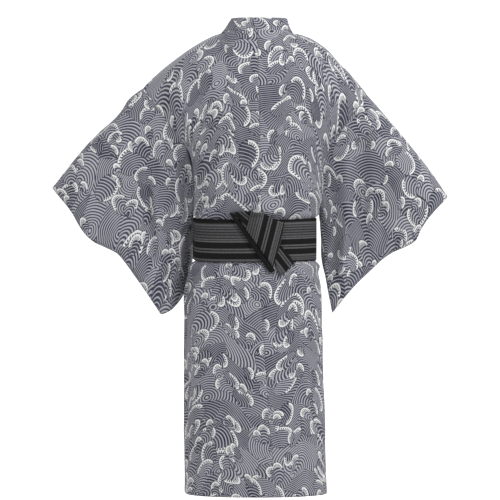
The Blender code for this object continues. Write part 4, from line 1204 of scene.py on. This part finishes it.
def print_ink(tree, place):
    """How much navy and how much white the print has at a place: rounds of curling water laid over
    each other one size after another, some with a crest of white teeth."""
    for scale, amount in (BROAD_BEND, CLOSE_BEND):
        noise = bench(tree, "ShaderNodeTexNoise", {"Vector": place, "Scale": scale, "Detail": 0.0},
                      noise_dimensions="2D").outputs["Color"]
        bent = ways(tree, "SUBTRACT", noise, (0.5, 0.5, 0.5))
        bent = bench(tree, "ShaderNodeVectorMath", {0: bent, "Scale": amount}, operation="SCALE").outputs[0]
        place = ways(tree, "ADD", place, bent)
    inks = (0.0, 0.0)
    for ring in RINGS:
        inks = ring_layer(tree, place, inks, ring)
    return inks


def toothed(tree, depth, tooth, rim):
    """A white crest whose inner side is cut into teeth, and the dark between them. Depth is the
    distance in from its edge, and rim says where along the edge it runs."""
    in_crest = sums(tree, "LESS_THAN", depth, CREST)
    zone = sums(tree, "MULTIPLY", in_crest, sums(tree, "GREATER_THAN", depth, 0.0))
    zone = sums(tree, "MULTIPLY", zone, sums(tree, "GREATER_THAN", rim, RIM_FROM))
    in_rim = sums(tree, "LESS_THAN", depth, CREST_RIM)
    cut = sums(tree, "MAXIMUM", in_rim, sums(tree, "GREATER_THAN", tooth, TOOTH_CUT))
    white = sums(tree, "MULTIPLY", zone, cut)
    return white, sums(tree, "SUBTRACT", zone, white)


def by_chance(tree, chance, name, scale=1.0):
    """A measure that differs from round to round."""
    most, least = CHANCES[name]
    return sums(tree, "MULTIPLY_ADD", chance, scale * most, scale * least)


def ring_layer(tree, place, inks, ring):
    """Rounds of curling water over what is there: arcs about a centre to one side, some crested."""
    shifted = ways(tree, "ADD", place, (*ring["shift"], 0.0))
    shifted = bench(tree, "ShaderNodeMapping", {"Vector": shifted, "Rotation": (0.0, 0.0, ring["turn"]),
                                                "Scale": (*ring["stretch"], 1.0)}).outputs[0]
    field = {"Vector": shifted, "Scale": ring["cells"], "Randomness": CELL_RANDOMNESS}
    cells = bench(tree, "ShaderNodeTexVoronoi", field, voronoi_dimensions="2D", feature="F1")
    first, second, third = bench(tree, "ShaderNodeSeparateColor", {0: cells.outputs["Color"]}).outputs
    local = ways(tree, "SUBTRACT", shifted, cells.outputs["Position"])
    radius = ways(tree, "LENGTH", local)
    size = min(ring["reach"], LARGEST_IN_CELL / ring["cells"])
    reach = by_chance(tree, first, "reach", ring["reach"])
    lean = by_chance(tree, second, "lean", size)
    low = by_chance(tree, third, "low", size)
    centre = bench(tree, "ShaderNodeCombineXYZ", {0: lean, 1: low, 2: 0.0}).outputs[0]
    away = ways(tree, "LENGTH", ways(tree, "SUBTRACT", local, centre))
    pitch = by_chance(tree, second, "pitch", ring["pitch"])
    weight = sums(tree, "MULTIPLY_ADD", third, WEIGHT_CHANCE[0], ring["weight"] + WEIGHT_CHANCE[1])
    own = drawn_lines(tree, sums(tree, "DIVIDE", away, pitch), weight)
    side = bench(tree, "ShaderNodeSeparateXYZ", {0: local})
    turn = sums(tree, "ARCTAN2", side.outputs[1], side.outputs[0])
    count = round(2 * math.pi * ring["reach"] * TEETH_SHARE / TOOTH)
    teeth = sums(tree, "SINE", sums(tree, "MULTIPLY", turn, count))
    along_rim = sums(tree, "SINE", sums(tree, "ADD", turn, by_chance(tree, second, "rim")))
    white, between_teeth = toothed(tree, sums(tree, "SUBTRACT", reach, radius), teeth, along_rim)
    dark = sums(tree, "MAXIMUM", between_teeth, sums(tree, "GREATER_THAN", radius, reach))
    own = sums(tree, "MULTIPLY", sums(tree, "MAXIMUM", own, dark), sums(tree, "SUBTRACT", 1.0, white))
    shown = sums(tree, "MULTIPLY", sums(tree, "LESS_THAN", radius, sums(tree, "ADD", reach, OUTLINE)),
                 sums(tree, "LESS_THAN", first, ring["share"]))
    return blend(tree, shown, inks[0], own), blend(tree, shown, inks[1], white)


def new_material(name, look):
    """A material with its tree and its shader, which has the look's plain values."""
    material = bpy.data.materials.new(name)
    material.use_nodes = True
    shader = material.node_tree.nodes["Principled BSDF"]
    for key, value in look.items():
        shader.inputs[key].default_value = value
    return material, material.node_tree, shader


def mixed_colour(tree, share, first, second):
    """A colour between two, by a share."""
    node = bench(tree, "ShaderNodeMix", data_type="RGBA")
    for number, value in ((0, share), (6, first), (7, second)):
        feed(tree, value, node.inputs[number])
    return node.outputs[2]


def raised(tree, shader, height, strength):
    """The weave's threads, as a bump."""
    bump = bench(tree, "ShaderNodeBump", {"Height": height, "Strength": strength, "Distance": THREAD_DEPTH})
    tree.links.new(bump.outputs[0], shader.inputs["Normal"])


def cotton_cloth():
    """White cotton with the navy print, soft and matt, with a fine plain weave."""
    material, tree, shader = new_material("printed cotton", COTTON_LOOK)
    place = cloth_places(tree)
    ink, white = print_ink(tree, place)
    wear = bench(tree, "ShaderNodeTexNoise", {"Vector": place, "Scale": WEAR_SCALE, "Detail": 3.0},
                 noise_dimensions="2D").outputs[0]
    ink = sums(tree, "MULTIPLY", ink, sums(tree, "MULTIPLY_ADD", wear, *WEAR))
    ink = bench(tree, "ShaderNodeClamp", {0: ink}).outputs[0]
    printed = mixed_colour(tree, ink, (*PAPER, 1.0), (*NAVY, 1.0))
    tree.links.new(mixed_colour(tree, white, printed, (*WHITE, 1.0)), shader.inputs["Base Color"])
    parts = bench(tree, "ShaderNodeSeparateXYZ", {0: place}).outputs
    warp, weft = (sums(tree, "SINE", sums(tree, "MULTIPLY", parts[n], COTTON_WEAVE[n])) for n in (0, 1))
    raised(tree, shader, sums(tree, "MULTIPLY", warp, weft), COTTON_BUMP)
    return material


def sash_cloth():
    """Black cotton weave with grey stripes along it, ribbed across."""
    material, tree, shader = new_material("striped sash weave", SASH_LOOK)
    parts = bench(tree, "ShaderNodeSeparateXYZ", {0: cloth_places(tree)}).outputs
    ramp = bench(tree, "ShaderNodeValToRGB", {0: parts[1]})
    ramp.color_ramp.interpolation = "CONSTANT"
    stops = ramp.color_ramp.elements
    for number, (start, tone) in enumerate(STRIPES):
        stop = stops[number] if number < 2 else stops.new(start)
        stop.position = start
        stop.color = (tone, tone, tone * SASH_BLUE, 1.0)
    along_band, across_band = (sums(tree, "MULTIPLY", parts[n], FLECK_SCALE[n]) for n in (0, 1))
    stretched = bench(tree, "ShaderNodeCombineXYZ", {0: along_band, 1: across_band, 2: 0.0}).outputs[0]
    fleck = bench(tree, "ShaderNodeTexNoise", {"Vector": stretched, "Scale": 1.0, "Detail": 2.0},
                  noise_dimensions="2D").outputs[0]
    fleck = bench(tree, "ShaderNodeMapRange", {0: fleck, **FLECK_RANGE}).outputs[0]
    colour = bench(tree, "ShaderNodeVectorMath", {0: ramp.outputs[0], "Scale": fleck}, operation="SCALE")
    tree.links.new(colour.outputs[0], shader.inputs["Base Color"])
    raised(tree, shader, sums(tree, "SINE", sums(tree, "MULTIPLY", parts[0], SASH_RIBS)), SASH_BUMP)
    return material


def stitch_rows(look):
    """The tree that sets a short bar of thread at each step along a line, turned along it."""
    tree = bpy.data.node_groups.new("rows of stitches", "GeometryNodeTree")
    tree.interface.new_socket("Line", in_out="INPUT", socket_type="NodeSocketGeometry")
    keys = {}
    for name, value in STITCHES.items():
        socket = tree.interface.new_socket(name, in_out="INPUT", socket_type="NodeSocketFloat")
        socket.default_value = value
        keys[name] = socket.identifier
    seed = tree.interface.new_socket("Seed", in_out="INPUT", socket_type="NodeSocketInt")
    keys["Seed"] = seed.identifier
    tree.interface.new_socket("Stitches", in_out="OUTPUT", socket_type="NodeSocketGeometry")
    given = tree.nodes.new("NodeGroupInput").outputs
    line = bench(tree, "GeometryNodeMeshToCurve", {"Mesh": given["Line"]}).outputs[0]
    spacing = {"Curve": line, "Length": given["Spacing"]}
    steps = bench(tree, "GeometryNodeResampleCurve", spacing, mode="LENGTH").outputs[0]
    sizes = {"Vertices": THREAD_SIDES, "Radius": given["Thread radius"], "Depth": given["Stitch length"]}
    bar = bench(tree, "GeometryNodeMeshCylinder", sizes).outputs[0]
    along = tree.nodes.new("GeometryNodeInputTangent").outputs[0]
    aim = bench(tree, "FunctionNodeAlignRotationToVector", {"Vector": along}, axis="Z")
    uneven = bench(tree, "FunctionNodeRandomValue", {"Seed": given["Seed"]}, data_type="FLOAT")
    for place, value in UNEVEN.items():
        uneven.inputs[place].default_value = value
    size = bench(tree, "ShaderNodeCombineXYZ", {0: 1.0, 1: 1.0, 2: uneven.outputs[1]}).outputs[0]
    laid = {"Points": steps, "Instance": bar, "Rotation": aim.outputs[0], "Scale": size}
    bars = bench(tree, "GeometryNodeInstanceOnPoints", laid)
    real = bench(tree, "GeometryNodeRealizeInstances", {0: bars.outputs[0]})
    done = bench(tree, "GeometryNodeSetMaterial", {"Geometry": real.outputs[0], "Material": look})
    tree.links.new(done.outputs[0], tree.nodes.new("NodeGroupOutput").inputs[0])
    return tree, keys


def stitches(name, lines, rows, number):
    """Stitches along lines of points, as one plain mesh."""
    tree, keys = rows
    mesh = bmesh.new()
    for line in lines:
        corners = [mesh.verts.new(point) for point in line]
        for first, second in zip(corners[:-1], corners[1:]):
            mesh.edges.new((first, second))
    data = finished(mesh, name + "_line")
    guide = placed(name + "_line", data)
    sewing = guide.modifiers.new("sewing", "NODES")
    sewing.node_group = tree
    for key, value in STITCHES.items():
        sewing[keys[key]] = value
    sewing[keys["Seed"]] = number
    held = guide.evaluated_get(bpy.context.evaluated_depsgraph_get())
    sewn = bpy.data.meshes.new_from_object(held)
    sewn.name = name
    guide.modifiers.remove(sewing)
    bpy.data.objects.remove(guide)
    bpy.data.meshes.remove(data)
    return placed(name, sewn)


def folded_hem(points, normals, edges):
    """The sheet with its free edges folded double. Edges name the grid's sides."""
    moved = points.copy()
    for edge in edges:
        line = {"low": points[-1:], "last": points[:, -1:], "first": points[:, :1]}[edge]
        apart = np.linalg.norm(points - line, axis=-1)
        step = 1 - smooth((apart - HEM_DEPTH * HEM_STEP[0]) / (HEM_DEPTH * HEM_STEP[1]))
        moved += normals * (HEM_THICK * step)[..., None]
    return moved


def laid_out(grid, edges, hems):
    """A body sheet's fine grid with its creases, its sewn edges drawn in and its hems folded."""
    points = body_pushed(grid)
    out, outward = outward_normals(points, points.shape[0] // 2, points.shape[1] // 2)
    return folded_hem(seam_dip(points, out, edges), out, hems), out, outward


def make_body(cotton):
    """The backs, fronts and overlap panels."""
    made = {}
    first = tip_row() - 1
    knots = body_row_knots()
    for side in SIDES:
        grids = {"back_" + side: (finer(back_grid(side), knots, back_columns()), ("first", "last"), ("low",)),
                 "front_" + side: (finer(front_grid(side), knots), ("first", "last"), ("low",)),
                 "overlap_" + side: (finer(overlap_grid(side), knots[first:]), ("first",), ("low", "last"))}
        for name, (grid, edges, hems) in grids.items():
            points, out, outward = laid_out(grid, edges, hems)
            lifted = points + out * STITCH_LIFT
            sewn = [lifted[-1 - HEM_STITCH_ROWS]]
            if "last" in hems:
                sewn.append(lifted[points.shape[0] // 2:, -1 - EDGE_STITCH_COLUMNS])
            piece = sheet_mesh(name, points, *cloth_lengths(points), outward, cotton, SHELL)
            made[name] = (piece, sewn)
    return made


def make_sleeve(side, cotton):
    """One sleeve: a flat tube folded along its top, open at the armhole and the upper cuff."""
    shares = np.array([share for share, _ in sleeve_shares()])
    columns = np.array(SLEEVE_COLUMNS)
    behind, in_front = (sleeve_pushed(finer(grid, shares, columns), side, is_behind)
                        for grid, is_behind in zip(sleeve_grids(side), (True, False)))
    widths, lengths = cloth_lengths(behind)
    front_widths, front_lengths = cloth_lengths(in_front)
    whole = np.concatenate([in_front[::-1], behind[1:]])
    widths = np.concatenate([front_widths[::-1], widths[1:]])
    lengths = np.concatenate([-front_lengths[::-1], lengths[1:]])
    out, outward = outward_normals(whole, SLEEVE_READ_ROW, whole.shape[1] // 2, behind=True)
    whole = folded_hem(seam_dip(whole, out, ("first",)), out, ("last",))
    piece = sheet_mesh("sleeve_" + side, whole, widths, lengths, outward, cotton, SHELL)
    return piece, [(whole + out * STITCH_LIFT)[:, -1 - EDGE_STITCH_COLUMNS]]


def make_collar(cotton):
    """The collar, a band folded double, from the left overlap round the neck to the right one. Below
    the shoulder it moves with the fronts."""
    grid = finer(collar_grid())
    points = grid + (body_pushed(grid) - grid) * faded(-grid[..., 2], "collar")[..., None]
    out, outward = outward_normals(points, *COLLAR_READ_AT)
    lifted = points + out * COLLAR_STANDS_OUT
    sewn = (lifted + out * STITCH_LIFT)[:, COLLAR_STITCH_COLUMNS]
    piece = sheet_mesh("collar", lifted, *cloth_lengths(points), outward, cotton, COLLAR_SHELL)
    return piece, [sewn]


def make_sash_turn(name, turn, weave):
    """One turn of the sash, as it lies on the waist."""
    lift, upper, rise = (SASH_TURNS[key][turn] for key in ("lift", "upper", "rise"))
    start = SASH_END_ANGLE + SASH_END_GAP / 2
    grid = []
    for share in SASH_ROWS:
        row = []
        for step in range(SASH_STEPS + 1):
            angle = start + (360 - SASH_END_GAP) * step / SASH_STEPS
            right, behind = ring_direction(angle)
            point = figure_point(angle, SASH_MIDDLE, sash_radius(angle, lift) + SASH_WALL)
            width = SASH_WIDTH + SASH_DEEPER[turn] * (1 + DEEPER_TO_RIGHT * right)
            point[2] = -(upper + width * share) + rise * right * max(behind, 0.0) ** 0.5
            row.append(point)
        grid.append(row)
    points = finer(grid)
    out, outward = outward_normals(points, points.shape[0] // 2, SASH_READ_COLUMN)
    x, drop = points[..., 0], -points[..., 2]
    wave = SASH_RIPPLE * np.sin(34 * x + 12 * drop) * np.sin(26 * drop - 9 * x + 1.0)
    points = points + out * wave[..., None]
    widths, _ = cloth_lengths(points)
    up = 1 - np.linspace(0, 1, points.shape[0])[:, None] * np.ones((1, points.shape[1]))
    # On the left the stripes move down and the lower grey bands give way to dark ones: partly a rolled-under
    # edge, partly painted shade along the lower edge
    on_left = (1 - faded(x, "sash_right")) * (points[..., 1] < 0)
    shares = np.clip(up + ROLLED_EDGE_AND_SHADE_SHIFT * on_left * (1 - up), *BAND_SHARES)
    return sheet_mesh(name, points, widths, shares, outward, weave, SASH_SHELL)


def knot_height(name, across, down):
    """How far a knot piece stands off the sash: crowned with its edges turned down, or rolled."""
    outline = KNOT[name]
    if name == "knot_roll":
        ridge = math.sqrt(max(1 - (2 * across - 1) ** 2, 0.0))
        fold = ROLL_FOLD * math.sin(3 * math.pi * across) * math.sin(math.pi * down)
        return outline["under"] + ROLL_BASE + (outline["thick"] - ROLL_SHORT) * ridge + fold
    fall, edge = KNOT_EDGES[name]
    crown = outline["crown"] * CROWN_PEAK * across * (1 - across) * down * (1 - down)
    nearness = min(across, 1 - across, down, 1 - down) / edge
    return outline["under"] + outline["thick"] + crown - fall * (1 - rounded(nearness))


def make_knot_cloth(name, weave):
    """A stretch of the sash folded into the knot, with its stripes along their line in the photo."""
    shares = np.linspace(0, 1, KNOT_FINE + 1)
    points = np.zeros((len(shares), len(shares), 3))
    widths, lengths = np.zeros(points.shape[:2]), np.zeros(points.shape[:2])
    x0, drop0, x1, drop1, first = KNOT_STRIPES[name]
    run = np.array([x1 - x0, drop1 - drop0]) / math.hypot(x1 - x0, drop1 - drop0)
    for i, down in enumerate(shares):
        for j, across in enumerate(shares):
            x, drop = knot_place(KNOT[name], across, down)
            points[i, j] = sash_face(x, drop, knot_height(name, across, down))
            place = np.array([x - x0, drop - drop0])
            widths[i, j] = float(run @ place)
            apart = abs(float(run[0] * place[1] - run[1] * place[0]))
            lengths[i, j] = first + apart / BAND_WIDTH
    lengths = np.clip(lengths, *BAND_SHARES)
    if name == "knot_roll":
        lengths[:] = ROLL_SHARES[0] + (ROLL_SHARES[1] - ROLL_SHARES[0]) * shares[None, :]
    _, outward = outward_normals(points, KNOT_FINE // 2, KNOT_FINE // 2, behind=True)
    return sheet_mesh(name, points, widths, lengths, outward, weave, SASH_SHELL)


def main():
    cotton = cotton_cloth()
    weave = sash_cloth()
    made = make_body(cotton)
    for side in SIDES:
        made["sleeve_" + side] = make_sleeve(side, cotton)
    made["collar"] = make_collar(cotton)
    for turn, name in enumerate(("sash_inner", "sash_outer")):
        made[name] = (make_sash_turn(name, turn, weave), [])
    for name in KNOT:
        made[name] = (make_knot_cloth(name, weave), [])
    rows = stitch_rows(new_material("sewing thread", THREAD_LOOK)[0])
    for number, (name, (piece, lines)) in enumerate(made.items()):
        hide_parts(name)
        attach(piece, "root")
        if lines:
            sewn = stitches(name + "_stitches", lines, rows, number)
            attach(sewn, "root")


def stage():
    """A pale floor that curves up all round, soft light and the camera behind the robe."""
    flat, turn, drop, count = (FLOOR[key] for key in ("flat", "turn", "drop", "turns"))
    bends = np.linspace(FLOOR["from_angle"], math.pi / 2, FLOOR["steps"])
    profile = [(flat, -drop)] + [(flat + turn * math.sin(a), turn * (1 - math.cos(a)) - drop) for a in bends]
    profile.append((flat + turn, FLOOR["top"]))
    round_it = [2 * math.pi * n / count for n in range(count)]
    mesh = bmesh.new()
    rings = [[mesh.verts.new((r * math.cos(a), r * math.sin(a), z)) for a in round_it] for r, z in profile]
    mesh.faces.new(rings[0])
    for low, high in zip(rings[:-1], rings[1:]):
        for n in range(count):
            mesh.faces.new((low[n], low[(n + 1) % count], high[(n + 1) % count], high[n]))
    bmesh.ops.recalc_face_normals(mesh, faces=mesh.faces[:])
    ground = placed("floor", finished(mesh, "floor"))
    ground.data.shade_smooth()
    ground.data.materials.append(new_material("pale floor", FLOOR_LOOK)[0])
    ground.visible_diffuse = False
    world = bpy.data.worlds.new("studio")
    world.use_nodes = True
    background = world.node_tree.nodes["Background"].inputs
    background[0].default_value = (1.0, 1.0, 1.0, 1.0)
    background[1].default_value = WORLD_LIGHT
    bpy.context.scene.world = world
    for name, place, size, power in LAMPS:
        light = bpy.data.lights.new(name, "AREA")
        light.size = size
        light.energy = power
        lamp = placed(name, light)
        lamp.location = place
        aim = np.array(LAMPS_AIM) - np.array(place)
        down = math.acos(-aim[2] / np.linalg.norm(aim))
        lamp.rotation_euler = (down, 0.0, math.atan2(aim[1], aim[0]) - math.pi / 2)
    camera = bpy.data.cameras.new("camera")
    camera.sensor_width = CAMERA["sensor"]
    camera.lens = CAMERA["lens"]
    view = placed("camera", camera)
    tilt, distance = math.radians(CAMERA["tilt"]), CAMERA["distance"]
    x, y, z = CAMERA["target"]
    view.location = (x, y - distance * math.cos(tilt), z + distance * math.sin(tilt))
    view.rotation_euler = (math.pi / 2 - tilt, 0.0, 0.0)
    bpy.context.scene.camera = view
    bpy.context.scene.view_settings.view_transform = "Standard"


main()
stage()
